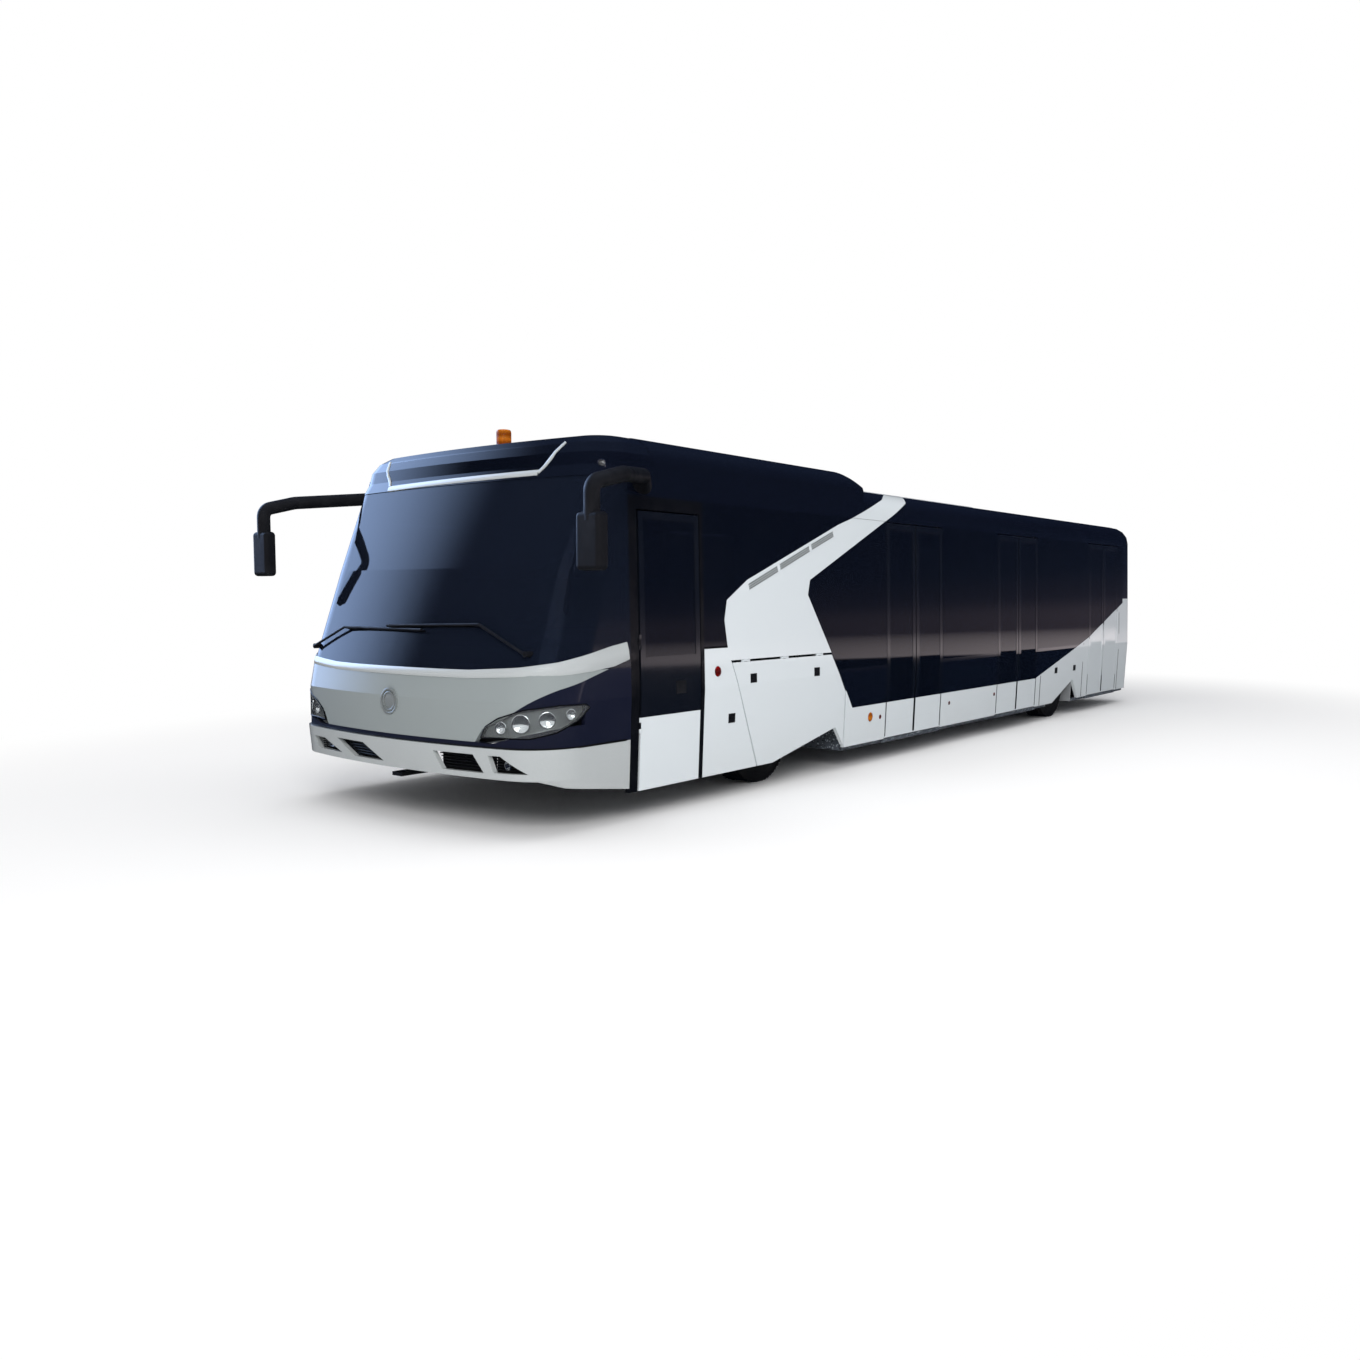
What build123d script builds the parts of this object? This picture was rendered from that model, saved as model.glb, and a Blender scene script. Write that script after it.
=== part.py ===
from build123d import *
from math import cos, radians, sin, sqrt
import os

# Airport passenger bus: a low-floor apron bus with one cab door and three double doors a side.
# Millimetres. +Z is up, the front looks along -Y and the left side is +X.
# The origin is on the ground, under the middle of the bus.

os.makedirs("parts", exist_ok=True)

# Body: overall sizes and cross-section
FRONT_Y = -6950
REAR_Y = 6950
HALF_WIDTH = 1575
SKIRT_Z = 235
WAIST_Z = 1000
SIDE_TUCK = 30
SIDE_LEAN = 38
LEAN_HEIGHT = 1600
WALL = 40
GLASS = 12
SEAM = 12

# Roof: the main roof, and the raised roof over the front
EAVE_Z = 2620
ROOF_RADIUS = 270
ROOF_CROWN = 25
DOME_EAVE_Z = 2790
DOME_RADIUS = 260
DOME_END_Y = -2100
DOME_SLOPE_RUN = 300
COVE_STEPS = 4

# Front and rear shells
FRONT_SHELL_Y = -5810
HEADER_BACK_Y = -5500
BUMPER_TOP_Z = 660
SCREEN_SILL_Z = 1230
SCREEN_TOP_Z = 2700
REAR_SHELL_Y = 6480
REAR_CORNER_R = 190
REAR_BOW_R = 30000
REAR_WHITE_Z = 1718
TAIL_INSET = 26
TAIL_SETBACK = 140
ROOF_STRIP_X = 660
REAR_WINDOW = (-1080, 1080, 1800, 2480)
TAIL_LAMP = (1230, 1420, 760, 1160)

# Doors
DOOR_TOP_Z = 2555
DOOR_WIDTH = 1360
DOOR_CENTRES_Y = (-940, 2050, 5530)
DOOR_GAP = 10
DOOR_MEETING_GAP = 20
DOOR_SWING_X = 1480
DOOR_SWING_INSET = 22
DOOR_FRAME = 70
PIVOT_R = 12
RUNNING = 0.05
CAB_DOOR_Y = (-5690, -4918)
CAB_DOOR_TOP_Z = 2450
CAB_HINGE_X = 1566
CAB_HINGE_Z = (760, 1420)
HINGE_R = 9
HINGE_PIN_R = 5
HINGE_FIXED = 50
HINGE_MOVING = 34
HINGE_END_GAP = 1
HINGE_LEG = 14
CAB_WINDOW_SILL_Z = 1300
CAB_WINDOW_EDGE = 60
DOOR_WINDOW_SILL_Z = 420
TUBE_BELOW_FLOOR = 28
TUBE_IN_HEAD = 30
FIN = (1530, 5)

# White side panels, as heights of their corners
GLASS_SILL_Z = 1040
SKIRT_TOP_Z = 631
FLAP_TOP_Z = 1220
FLAP_T = 36
FLAP_HINGE_X = 1561
FLAP_HINGES_Y = (-4250, -3620, -3000)

# Floors
FLOOR_Z = 235
FLOOR_T = 40
PLATFORM_Z = 1060
PLATFORM_T = 40
PLATFORM_GAP = 0.7
BULKHEAD_Y = -2420
PARTITION_Z = 1950
DOOR_CLEARANCE = 10
STEP_X = (1180, 1200, 1490)
STEP_Y = (-5660, -4940)
STEP_Z = (420, 460)
POST = 55

# Running gear
FRONT_AXLE_Y = -3580
REAR_AXLE_Y = 3750
TYRE_R = 478
TYRE_WIDTH = 275
BEAD_R = 286
KINGPIN_X = 1010
KINGPIN_OFFSET = 120
REAR_WHEEL_X = 1262
SPINDLE_R = 30
KINGPIN_R = 20
SPINDLE_REACH = 70
EYE_R = 44
EYE_HALF = 90
LUG_T = 36
LUG_GAP = 1
BEAM_HALF = 40
HUB_R = 75
HUB_HALF = 34
RIM_T = 24
DISC_R = 190
DISC_T = 20
BELLOWS_R = 110
ARM_HALF = 90
RAIL_Z = 600
RAIL_HEIGHT = 140
RAIL_X = (380, 460)
RAIL_FRONT_Y = -6865
STUBS_Y = (-6300, -4350, -3200, -2600)
CROSS_MEMBERS_Y = (-6600, -5780, -4680, -2900)
MEMBER = 80
TOW_EYE_Y = -6800
TOW_EYE_Z = 380
TOW_EYE_T = 30
TOW_EYE_HALF = 60
TOW_HOLE_R = 21
WHEEL_BOX_GAP = 42
WHEEL_BOX_T = 20
WHEEL_BOX_X = 1065
WHEEL_BOX_Z = 1000
WHEEL_BOX_Y = (REAR_AXLE_Y - TYRE_R - WHEEL_BOX_GAP, REAR_AXLE_Y + TYRE_R + WHEEL_BOX_GAP)

# Small pieces
POLE_R = 17.5
POLE_X = 700
POLES_Y = (-2050, 560, 4200, 6150)
RAIL_GAP = 0.3
HAND_RAIL_Z = 2050
HAND_RAIL_R = 16
MIRROR_X = 2030
MIRROR_Y = -6740
MIRROR_HEAD = (230, 110, 400)
MIRROR_HEAD_TOP = 2360
MIRROR_ARM_R = 58
MIRROR_ROOT_R = 105
BEACON_Y = -5670
BEACON_R = 62
BEACON_HEIGHT = 160
BEACON_FOOT = 30
WIPER_OFF = 45
WIPER_R = 11
WHEEL_CENTRE = (640, -5960, 1560)
SEAT = (640, -5330)

DOME_TOP_Z = DOME_EAVE_Z + DOME_RADIUS
ROOF_TOP_Z = EAVE_Z + ROOF_RADIUS
PANEL_TOP_Z = DOOR_TOP_Z + SEAM
FAR = 9000
BIG = 3000


def x_outer(z):
    """Half width of the body at a height: it tucks in below the waist and leans in above it."""
    if z < WAIST_Z:
        return HALF_WIDTH - SIDE_TUCK * (WAIST_Z - z) / (WAIST_Z - SKIRT_Z)
    return HALF_WIDTH - SIDE_LEAN * (z - WAIST_Z) / LEAN_HEIGHT


def box(x0, x1, y0, y1, z0, z1):
    """Box by its low and high corners."""
    return Pos((x0 + x1) / 2, (y0 + y1) / 2, (z0 + z1) / 2) * Box(x1 - x0, y1 - y0, z1 - z0)


def along_y(points, y0, y1):
    """Prism along Y from an outline of (x, z) points."""
    wire = Polyline([(x, y0, z) for x, z in points], close=True)
    return extrude(make_face(wire), amount=y1 - y0, dir=(0, 1, 0))


def along_x(points, x0, x1):
    """Prism along X from an outline of (y, z) points."""
    wire = Polyline([(x0, y, z) for y, z in points], close=True)
    return extrude(make_face(wire), amount=x1 - x0, dir=(1, 0, 0))


def rod(start, end, radius):
    """Round bar between two points."""
    axis = Vector(*end) - Vector(*start)
    plane = Plane(origin=start, z_dir=axis)
    return extrude(plane * Circle(radius), amount=axis.length)


def mirrored(part):
    """The same piece on the other side of the bus."""
    return mirror(part, about=Plane.YZ)


def both_sides(parts):
    """Pieces of the left side and their mirror images."""
    return [*parts, *[mirrored(part) for part in parts]]


def wall_section(top_z, bottom_z, thickness, inset=0):
    """Outline of the side wall between two heights, as (x, z) points."""
    heights = [bottom_z, top_z]
    if bottom_z < WAIST_Z < top_z:
        heights = [bottom_z, WAIST_Z, top_z]
    outer = [(x_outer(z) - inset, z) for z in heights]
    inner = [(x - thickness, z) for x, z in reversed(outer)]
    return outer + inner


def side_panel(outline, thickness=WALL, inset=0):
    """Panel of the left side wall, cut to an outline of (y, z) points."""
    ys = [y for y, z in outline]
    zs = [z for y, z in outline]
    slab = along_y(wall_section(max(zs), min(zs), thickness, inset), min(ys), max(ys))
    return slab & along_x(outline, 0, BIG)


def rectangle(y0, y1, z0, z1):
    """Outline of (y, z) points."""
    return [(y0, z0), (y1, z0), (y1, z1), (y0, z1)]


def cove_edges(eave_z, radius, bottom_z):
    """Outer and inner points of a roof edge: (x, z) of eave, middle of the arc and top."""
    centre_x = x_outer(eave_z) - radius
    middle = radius * cos(radians(45))
    inner = radius - WALL
    inner_middle = inner * cos(radians(45))
    outer_points = [
        (x_outer(bottom_z), bottom_z),
        (x_outer(eave_z), eave_z),
        (centre_x + middle, eave_z + middle),
        (centre_x, eave_z + radius),
    ]
    inner_points = [
        (x_outer(bottom_z) - WALL, bottom_z),
        (centre_x + inner, eave_z),
        (centre_x + inner_middle, eave_z + inner_middle),
        (centre_x, eave_z + inner),
    ]
    return outer_points, inner_points


def roof_edge(eave_z, radius, bottom_z, y0, y1):
    """Side of the roof: a short upright, then a quarter round up to the flat top."""
    (foot, eave, middle, top), (foot_in, eave_in, middle_in, top_in) = cove_edges(eave_z, radius, bottom_z)

    def at(point):
        return (point[0], y0, point[1])

    edges = [
        Line(at(foot), at(eave)),
        ThreePointArc(at(eave), at(middle), at(top)),
        Line(at(top), at(top_in)),
        ThreePointArc(at(top_in), at(middle_in), at(eave_in)),
        Line(at(eave_in), at(foot_in)),
        Line(at(foot_in), at(foot)),
    ]
    return extrude(make_face(edges), amount=y1 - y0, dir=(0, 1, 0))


def body_bulk(eave_z, radius, crown, inset, y0, y1):
    """Solid filling of the body's cross-section, from the skirt up."""
    centre_x = x_outer(eave_z) - radius
    r = radius - inset
    middle = r * cos(radians(45))

    def at(x, z):
        return (x, y0, z)

    half = [
        Line(at(0, SKIRT_Z - FLOOR_T), at(x_outer(SKIRT_Z) - inset, SKIRT_Z - FLOOR_T)),
        Line(at(x_outer(SKIRT_Z) - inset, SKIRT_Z - FLOOR_T), at(x_outer(SKIRT_Z) - inset, SKIRT_Z)),
        Line(at(x_outer(SKIRT_Z) - inset, SKIRT_Z), at(HALF_WIDTH - inset, WAIST_Z)),
        Line(at(HALF_WIDTH - inset, WAIST_Z), at(centre_x + r, eave_z)),
        ThreePointArc(at(centre_x + r, eave_z), at(centre_x + middle, eave_z + middle),
                      at(centre_x, eave_z + r)),
        Line(at(centre_x, eave_z + r), at(0, eave_z + r + crown)),
        Line(at(0, eave_z + r + crown), at(0, SKIRT_Z - FLOOR_T)),
    ]
    left = extrude(make_face(half), amount=y1 - y0, dir=(0, 1, 0))
    return left + mirrored(left)


def shell_outline(z, half, nose, corner, bow, back):
    """Plan of the body's end at a height: two sides, two round corners and a bowed front."""
    centre_y = nose + bow
    corner_y = centre_y - sqrt((bow - corner) ** 2 - (half - corner) ** 2)
    reach = (half - corner, corner_y - centre_y)
    length = sqrt(reach[0] ** 2 + reach[1] ** 2)
    unit = (reach[0] / length, reach[1] / length)
    touch = (unit[0] * bow, centre_y + unit[1] * bow)
    mid = (1 + unit[0], unit[1])
    mid_length = sqrt(mid[0] ** 2 + mid[1] ** 2)
    bend = (half - corner + corner * mid[0] / mid_length, corner_y + corner * mid[1] / mid_length)
    edges = [
        Line((half, back, z), (half, corner_y, z)),
        ThreePointArc((half, corner_y, z), (bend[0], bend[1], z), (touch[0], touch[1], z)),
        ThreePointArc((touch[0], touch[1], z), (0, nose, z), (-touch[0], touch[1], z)),
        ThreePointArc((-touch[0], touch[1], z), (-bend[0], bend[1], z), (-half, corner_y, z)),
        Line((-half, corner_y, z), (-half, back, z)),
        Line((-half, back, z), (half, back, z)),
    ]
    return make_face(edges)


def end_solid(rows, back, inset=0):
    """Solid end of the body, from rows of (height, half width, nose, corner radius, bow radius)."""
    faces = []
    for z, half, nose, corner, bow in rows:
        faces.append(shell_outline(z, half - inset, nose + inset, corner - inset, bow - inset, back))
    return loft(faces, ruled=True)


def end_shell(rows, back, thickness):
    """Bent wall of the body's end: the outer solid less the same solid set in by a thickness."""
    return end_solid(rows, back) - end_solid(rows, back, thickness)


def cove_rows(eave_z, radius, nose, setback, corner, top_corner, bow):
    """Rows up a quarter round, for the roof's edge over the front or the rear shell."""
    rows = []
    for step in range(COVE_STEPS + 1):
        angle = radians(90 * step / COVE_STEPS)
        inward = 1 - cos(angle)
        rows.append((
            eave_z + radius * sin(angle),
            x_outer(eave_z) - radius * inward,
            nose + setback * inward,
            corner + (top_corner - corner) * inward,
            bow,
        ))
    return rows


def lid(rows, back, depth):
    """Flat top that closes a shell at its last row."""
    z, half, nose, corner, bow = rows[-1]
    return extrude(shell_outline(z, half, nose, corner, bow, back), amount=depth, dir=(0, 0, -1))


# Front rows: height, half width, nose, corner radius, bow radius
BUMPER_ROWS = [
    (SKIRT_Z, x_outer(SKIRT_Z), FRONT_Y + 190, 430, 6000),
    (430, x_outer(430), FRONT_Y + 20, 450, 6000),
    (BUMPER_TOP_Z, x_outer(BUMPER_TOP_Z), FRONT_Y, 450, 6000),
]
PANEL_ROWS = [
    (BUMPER_TOP_Z, x_outer(BUMPER_TOP_Z), FRONT_Y + 25, 450, 6000),
    (WAIST_Z, HALF_WIDTH, FRONT_Y + 30, 455, 6000),
    (SCREEN_SILL_Z, x_outer(SCREEN_SILL_Z), FRONT_Y + 75, 460, 6000),
]
SCREEN_ROWS = [
    (SCREEN_SILL_Z, x_outer(SCREEN_SILL_Z), FRONT_Y + 88, 460, 6000),
    (2000, x_outer(2000), FRONT_Y + 380, 440, 7000),
    (SCREEN_TOP_Z, x_outer(SCREEN_TOP_Z), FRONT_Y + 715, 300, 9000),
]
HEADER_ROWS = [
    (SCREEN_TOP_Z, x_outer(SCREEN_TOP_Z), FRONT_Y + 708, 300, 9000),
    *cove_rows(DOME_EAVE_Z, DOME_RADIUS, FRONT_Y + 760, 290, 320, 200, 9000),
]
REAR_LOW_ROWS = [
    (SKIRT_Z, x_outer(SKIRT_Z), -REAR_Y + 30, REAR_CORNER_R, REAR_BOW_R),
    (WAIST_Z, HALF_WIDTH, -REAR_Y, REAR_CORNER_R, REAR_BOW_R),
    (REAR_WHITE_Z, x_outer(REAR_WHITE_Z), -REAR_Y + 6, REAR_CORNER_R, REAR_BOW_R),
]
REAR_HIGH_ROWS = [
    (REAR_WHITE_Z, x_outer(REAR_WHITE_Z), -REAR_Y + 6, REAR_CORNER_R, REAR_BOW_R),
    (PANEL_TOP_Z, x_outer(PANEL_TOP_Z), -REAR_Y + 25, REAR_CORNER_R, REAR_BOW_R),
]
REAR_TOP_ROWS = [
    (PANEL_TOP_Z, x_outer(PANEL_TOP_Z), -REAR_Y + 25, REAR_CORNER_R, REAR_BOW_R),
    *cove_rows(EAVE_Z, ROOF_RADIUS, -REAR_Y + TAIL_INSET, TAIL_SETBACK, REAR_CORNER_R, 180, REAR_BOW_R),
]

# Outlines of the side, as (y, z) points
HATCH_TOP_Z = 1345
Z_FRONT = [(-2340, PANEL_TOP_Z), (-2630, 2485), (-4220, 1923), (-4530, 1747), (-4570, 1574),
           (-4530, HATCH_TOP_Z)]
Z_FRONT_FOOT = [(-4480, FLAP_TOP_Z), (-4040, SKIRT_Z)]
ARCH_FRONT = [(-3790, SKIRT_Z), (-2670, 461)]
ARCH_REAR = [(3400, SKIRT_Z), (4200, 530), (4470, SKIRT_Z)]
FLAP_REAR_Y = -2492
SKIRT_FRONT_Y = -2480
HATCH_FRONT_Y = -4862
WHITE_RISE = [(2742, 640), (4850, 1137), (REAR_Y, 1797)]


def white_z(y):
    """Height of the white paint's rising edge towards the rear."""
    (y0, z0), (y1, z1), (y2, z2) = WHITE_RISE
    if y < y1:
        return z0 + (z1 - z0) * (y - y0) / (y1 - y0)
    return z1 + (z2 - z1) * (y - y1) / (y2 - y1)


KNEE = (-3210, 1789)
KNEE_FOOT = (-2340, SKIRT_TOP_Z)


def z_rear_y(z):
    """Rear edge of the slanted panel below its knee, carried on down to the skirt."""
    return KNEE[0] + (KNEE_FOOT[0] - KNEE[0]) * (KNEE[1] - z) / (KNEE[1] - KNEE_FOOT[1])


def z_rear_z(y):
    """Height of the same edge at a place along the bus."""
    return KNEE[1] - (KNEE[1] - KNEE_FOOT[1]) * (y - KNEE[0]) / (KNEE_FOOT[0] - KNEE[0])


Z_REAR = [(z_rear_y(FLAP_TOP_Z), FLAP_TOP_Z), KNEE, (-3170, 1933), (-1650, PANEL_TOP_Z)]


def door_edges(centre):
    """Outer edges of a door opening, with the gap round its leaves."""
    half = DOOR_WIDTH / 2 + DOOR_GAP
    return centre - half, centre + half


OPENINGS_Y = [door_edges(centre) for centre in DOOR_CENTRES_Y]
(D1_FRONT, D1_REAR), (D2_FRONT, D2_REAR), (D3_FRONT, D3_REAR) = OPENINGS_Y

main_cavity = body_bulk(EAVE_Z, ROOF_RADIUS, ROOF_CROWN, WALL, DOME_END_Y, REAR_SHELL_Y)
dome_cavity = body_bulk(DOME_EAVE_Z, DOME_RADIUS, 0, WALL, FRONT_SHELL_Y, DOME_END_Y)


def rear_shell(rows):
    """Shell of the rear end, built as a front and turned about."""
    return mirror(end_shell(rows, -REAR_SHELL_Y, WALL), about=Plane.XZ)


# Bumper: its lower edge as (y, z) points, and its openings seen from the front as (x, z) points
BUMPER_FOOT = [(FRONT_Y - 100, 438), (-6680, 423), (-6490, 363), (FRONT_SHELL_Y + 10, 268)]
BUMPER_OPENINGS = [
    [(524, 608), (927, 608), (1019, 472), (613, 472)],
    [(1066, 608), (1178, 608), (1375, 480), (1108, 480)],
    [(-750, 602), (-343, 602), (-70, 474), (-478, 474)],
    [(-1180, 580), (-973, 580), (-677, 482), (-1100, 482)],
]


def front_bumper():
    """Bumper with its four slanting openings and a lower edge that rises towards the front."""
    shell = end_shell(BUMPER_ROWS, FRONT_SHELL_Y, WALL)
    shell -= along_x([(BUMPER_FOOT[0][0], 0), *BUMPER_FOOT, (BUMPER_FOOT[-1][0], 0)], -BIG, BIG)
    for outline in BUMPER_OPENINGS:
        shell -= along_y(outline, FRONT_Y - 100, FRONT_Y + 600)
    return shell


HEADLAMP = [(930, 700), (1070, 690), (1650, 850), (1650, 985), (1290, 930), (1000, 800)]


def lamp_prism():
    """Outline of the headlamps seen from the front, as a pair of solids."""
    left = along_y(HEADLAMP, FRONT_Y - 100, FRONT_Y + 620)
    return left + mirrored(left)


def front_panel():
    """Panel below the windscreen, with a pocket for each headlamp."""
    return end_shell(PANEL_ROWS, FRONT_SHELL_Y, WALL) - lamp_prism()


def front_lamps():
    """Headlamp units that fill the pockets, and the round marker lamps above."""
    units = end_shell(PANEL_ROWS, FRONT_SHELL_Y, WALL) & lamp_prism()
    return [units, *marker_lamps()]


def windscreen():
    """One bonded sheet wrapped round to the door posts."""
    return end_shell(SCREEN_ROWS, FRONT_SHELL_Y, GLASS)


SIGN = [(-960, 2755), (960, 2755), (1080, 2965), (-1080, 2965)]


def header_shell():
    """Front of the raised roof, over the windscreen."""
    outer = end_solid(HEADER_ROWS, HEADER_BACK_Y)
    inner = end_solid(HEADER_ROWS, HEADER_BACK_Y, WALL)
    return (outer - inner) + lid(HEADER_ROWS, HEADER_BACK_Y, WALL)


def header_panel():
    """Header with the window of the sign cut."""
    return header_shell() - along_y(SIGN, FRONT_Y, FRONT_SHELL_Y - 150)


def sign_glass():
    """Dark glass of the destination sign."""
    return header_shell() & along_y(SIGN, FRONT_Y, FRONT_SHELL_Y - 150)


def marker_lamps():
    """Round lamps on the corners of the header."""
    lamps = []
    for side in (1, -1):
        body = rod((side * 1440, -6260, 2775), (side * 1400, -5900, 2775), 34)
        lamps.append(body - end_solid(HEADER_ROWS, HEADER_BACK_Y))
    return lamps


DOME_SLOPE = [
    (DOME_END_Y - DOME_SLOPE_RUN, DOME_TOP_Z),
    (DOME_END_Y, ROOF_TOP_Z),
]
TAIL_YZ = (DOME_SLOPE[0][0] - 1, DOME_SLOPE[1][0] + 1, 0, FAR)


def dome_roof():
    """Top of the raised roof in its panels: the flat, the slope behind it and the slope's two cheeks."""
    half = x_outer(DOME_EAVE_Z) - DOME_RADIUS
    flat = box(-half, half, HEADER_BACK_Y, DOME_SLOPE[0][0], DOME_TOP_Z - WALL, DOME_TOP_Z)
    tail = dome_tail()
    strips = [tail & box(x0, x1, *TAIL_YZ) for x0, x1 in [(-BIG, -half), (-half, half), (half, BIG)]]
    return [flat, *strips]


def dome_tail():
    """Sloping end of the raised roof, down to the main roof."""
    (y0, z0), (y1, z1) = DOME_SLOPE
    bulk = body_bulk(DOME_EAVE_Z, DOME_RADIUS, 0, 0, y0, y1)
    core = body_bulk(DOME_EAVE_Z, DOME_RADIUS, 0, WALL, y0, y1 - WALL)
    under = along_x([(y0, 0), (y1, 0), (y1, z1), (y0, z0)], -BIG, BIG)
    under_in = along_x([(y0, 0), (y1, 0), (y1, z1 - WALL), (y0, z0 - WALL)], -BIG, BIG)
    main = body_bulk(EAVE_Z, ROOF_RADIUS, ROOF_CROWN, WALL, y0, y1)
    upper = box(-BIG, BIG, y0, y1, PANEL_TOP_Z, FAR)
    return ((bulk & under) - (core & under_in) - main) & upper


def dome_sides():
    """Sides of the raised roof, which meet the header above the windscreen."""
    edge = roof_edge(DOME_EAVE_Z, DOME_RADIUS, PANEL_TOP_Z, FRONT_SHELL_Y, DOME_SLOPE[0][0])
    return both_sides([edge - box(0, BIG, FRONT_SHELL_Y, HEADER_BACK_Y, SCREEN_TOP_Z, FAR)])


def main_roof():
    """Crowned middle of the roof."""
    half = x_outer(EAVE_Z) - ROOF_RADIUS
    outline = [
        (-half, ROOF_TOP_Z), (0, ROOF_TOP_Z + ROOF_CROWN), (half, ROOF_TOP_Z),
        (half, ROOF_TOP_Z - WALL), (0, ROOF_TOP_Z + ROOF_CROWN - WALL), (-half, ROOF_TOP_Z - WALL),
    ]
    return along_y(outline, DOME_END_Y, REAR_SHELL_Y)


def roof_edges():
    """Rounded edges of the main roof, which also hold the door heads."""
    return both_sides([roof_edge(EAVE_Z, ROOF_RADIUS, PANEL_TOP_Z, DOME_END_Y, REAR_SHELL_Y)])


def roof_pod():
    """Low housing on the roof behind the raised part."""
    base_z = ROOF_TOP_Z + ROOF_CROWN
    half = 820
    y0, y1 = DOME_END_Y + 160, 2450
    outline = [(y0, ROOF_TOP_Z - 200), (y1, ROOF_TOP_Z - 200), (y1, base_z + 10), (y1 - 260, base_z + 75),
               (y0 + 60, base_z + 75), (y0, base_z + 30)]
    pod = fillet(along_x(outline, -half, half).edges().filter_by(Axis.Y).group_by(Axis.Z)[-1], 40)
    return pod - body_bulk(EAVE_Z, ROOF_RADIUS, ROOF_CROWN, 0, y0 - 10, y1 + 10)


def beacon():
    """Warning lamp on its foot."""
    height = BEACON_HEIGHT - BEACON_FOOT
    foot = Pos(0, BEACON_Y, DOME_TOP_Z + BEACON_FOOT / 2) * Cylinder(BEACON_R + 8, BEACON_FOOT)
    lens = Pos(0, BEACON_Y, DOME_TOP_Z + BEACON_FOOT + height / 2) * Cylinder(BEACON_R, height)
    return foot + fillet(lens.edges().group_by(Axis.Z)[-1], 14)


CAB_POST_REAR_Y = CAB_DOOR_Y[1] + SEAM
HINGE_JAMB_Y = CAB_DOOR_Y[0] - 22
CAB_HINGE_Y = CAB_DOOR_Y[0] - 11


def knuckle_barrel(centre, axis, length, leg):
    """Hinge barrel with a leg to the panel that carries it."""
    start = [c - a * length / 2 for c, a in zip(centre, axis)]
    end = [c + a * length / 2 for c, a in zip(centre, axis)]
    barrel = rod(start, end, HINGE_R)
    size = [length if a else HINGE_R for a in axis]
    size = [abs(reach) if reach else s for s, reach in zip(size, leg)]
    middle = [c + reach / 2 for c, reach in zip(centre, leg)]
    return barrel + Pos(*middle) * Box(*size)


def hinge_bore(centre, axis, length):
    """Hole through a fixed barrel, one running clearance over the pin."""
    start = [c - a * length for c, a in zip(centre, axis)]
    end = [c + a * length for c, a in zip(centre, axis)]
    return rod(start, end, HINGE_PIN_R + RUNNING)


def fixed_hinge(centre, axis, leg):
    """Middle barrel of a hinge, with its bore."""
    return knuckle_barrel(centre, axis, HINGE_FIXED, leg) - hinge_bore(centre, axis, HINGE_FIXED)


def moving_hinge(centre, axis, leg):
    """Two outer barrels of a hinge and the pin that joins them."""
    offset = (HINGE_FIXED + HINGE_MOVING) / 2 + HINGE_END_GAP
    parts = []
    for side in (1, -1):
        shifted = [c + side * a * offset for c, a in zip(centre, axis)]
        parts.append(knuckle_barrel(shifted, axis, HINGE_MOVING, leg))
    reach = HINGE_FIXED / 2 + HINGE_MOVING
    start = [c - a * reach for c, a in zip(centre, axis)]
    end = [c + a * reach for c, a in zip(centre, axis)]
    return parts[0] + parts[1] + rod(start, end, HINGE_PIN_R)


def cab_door_frames():
    """Frame round each cab door: two posts and the bar over the door."""
    frame = side_panel(rectangle(FRONT_SHELL_Y, HATCH_FRONT_Y, SKIRT_Z, PANEL_TOP_Z))
    doorway = rectangle(HINGE_JAMB_Y, CAB_POST_REAR_Y, SKIRT_Z - SEAM, CAB_DOOR_TOP_Z + SEAM)
    frame -= along_x(doorway, 0, BIG)
    for z in CAB_HINGE_Z:
        frame += fixed_hinge((CAB_HINGE_X, CAB_HINGE_Y, z), (0, 0, 1), (0, -20, 0))
    return both_sides([frame])


def cab_door():
    """Left cab door with its window cut."""
    y0, y1 = CAB_DOOR_Y
    panel = side_panel(rectangle(y0, y1, SKIRT_Z, CAB_DOOR_TOP_Z))
    edge = CAB_WINDOW_EDGE
    panel -= along_x(rectangle(y0 + edge, y1 - edge, CAB_WINDOW_SILL_Z, CAB_DOOR_TOP_Z - edge), 0, BIG)
    for z in CAB_HINGE_Z:
        panel += moving_hinge((CAB_HINGE_X, CAB_HINGE_Y, z), (0, 0, 1), (0, 16, 0))
    return panel


def slanted_panels():
    """White panels that slant from the wheel up to the roof, with the hinges of the flap below."""
    outline = [*Z_FRONT, Z_FRONT_FOOT[0], *Z_REAR]
    panel = side_panel(outline)
    for y in FLAP_HINGES_Y:
        panel += fixed_hinge((FLAP_HINGE_X, y, FLAP_HINGE_Z), (0, 1, 0), (0, 0, HINGE_LEG))
    return both_sides([panel])


FLAP_HINGE_Z = FLAP_TOP_Z - 11


def engine_flap():
    """Left flap over the front wheel, hinged along its top."""
    top = FLAP_TOP_Z - 22
    (front_high, _), (front_low, _) = Z_FRONT_FOOT
    front_top = front_high + (front_low - front_high) * (FLAP_TOP_Z - top) / (FLAP_TOP_Z - SKIRT_Z)
    outline = [(front_low + SEAM, SKIRT_Z), (front_top + SEAM, top), (z_rear_y(top) - SEAM, top),
               (FLAP_REAR_Y - SEAM, z_rear_z(FLAP_REAR_Y) - SEAM), (FLAP_REAR_Y - SEAM, SKIRT_Z + 30),
               ARCH_FRONT[1], ARCH_FRONT[0]]
    panel = side_panel(outline, FLAP_T)
    for y in FLAP_HINGES_Y:
        panel += moving_hinge((FLAP_HINGE_X, y, FLAP_HINGE_Z), (0, 1, 0), (0, 0, -HINGE_LEG))
    return panel


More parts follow.
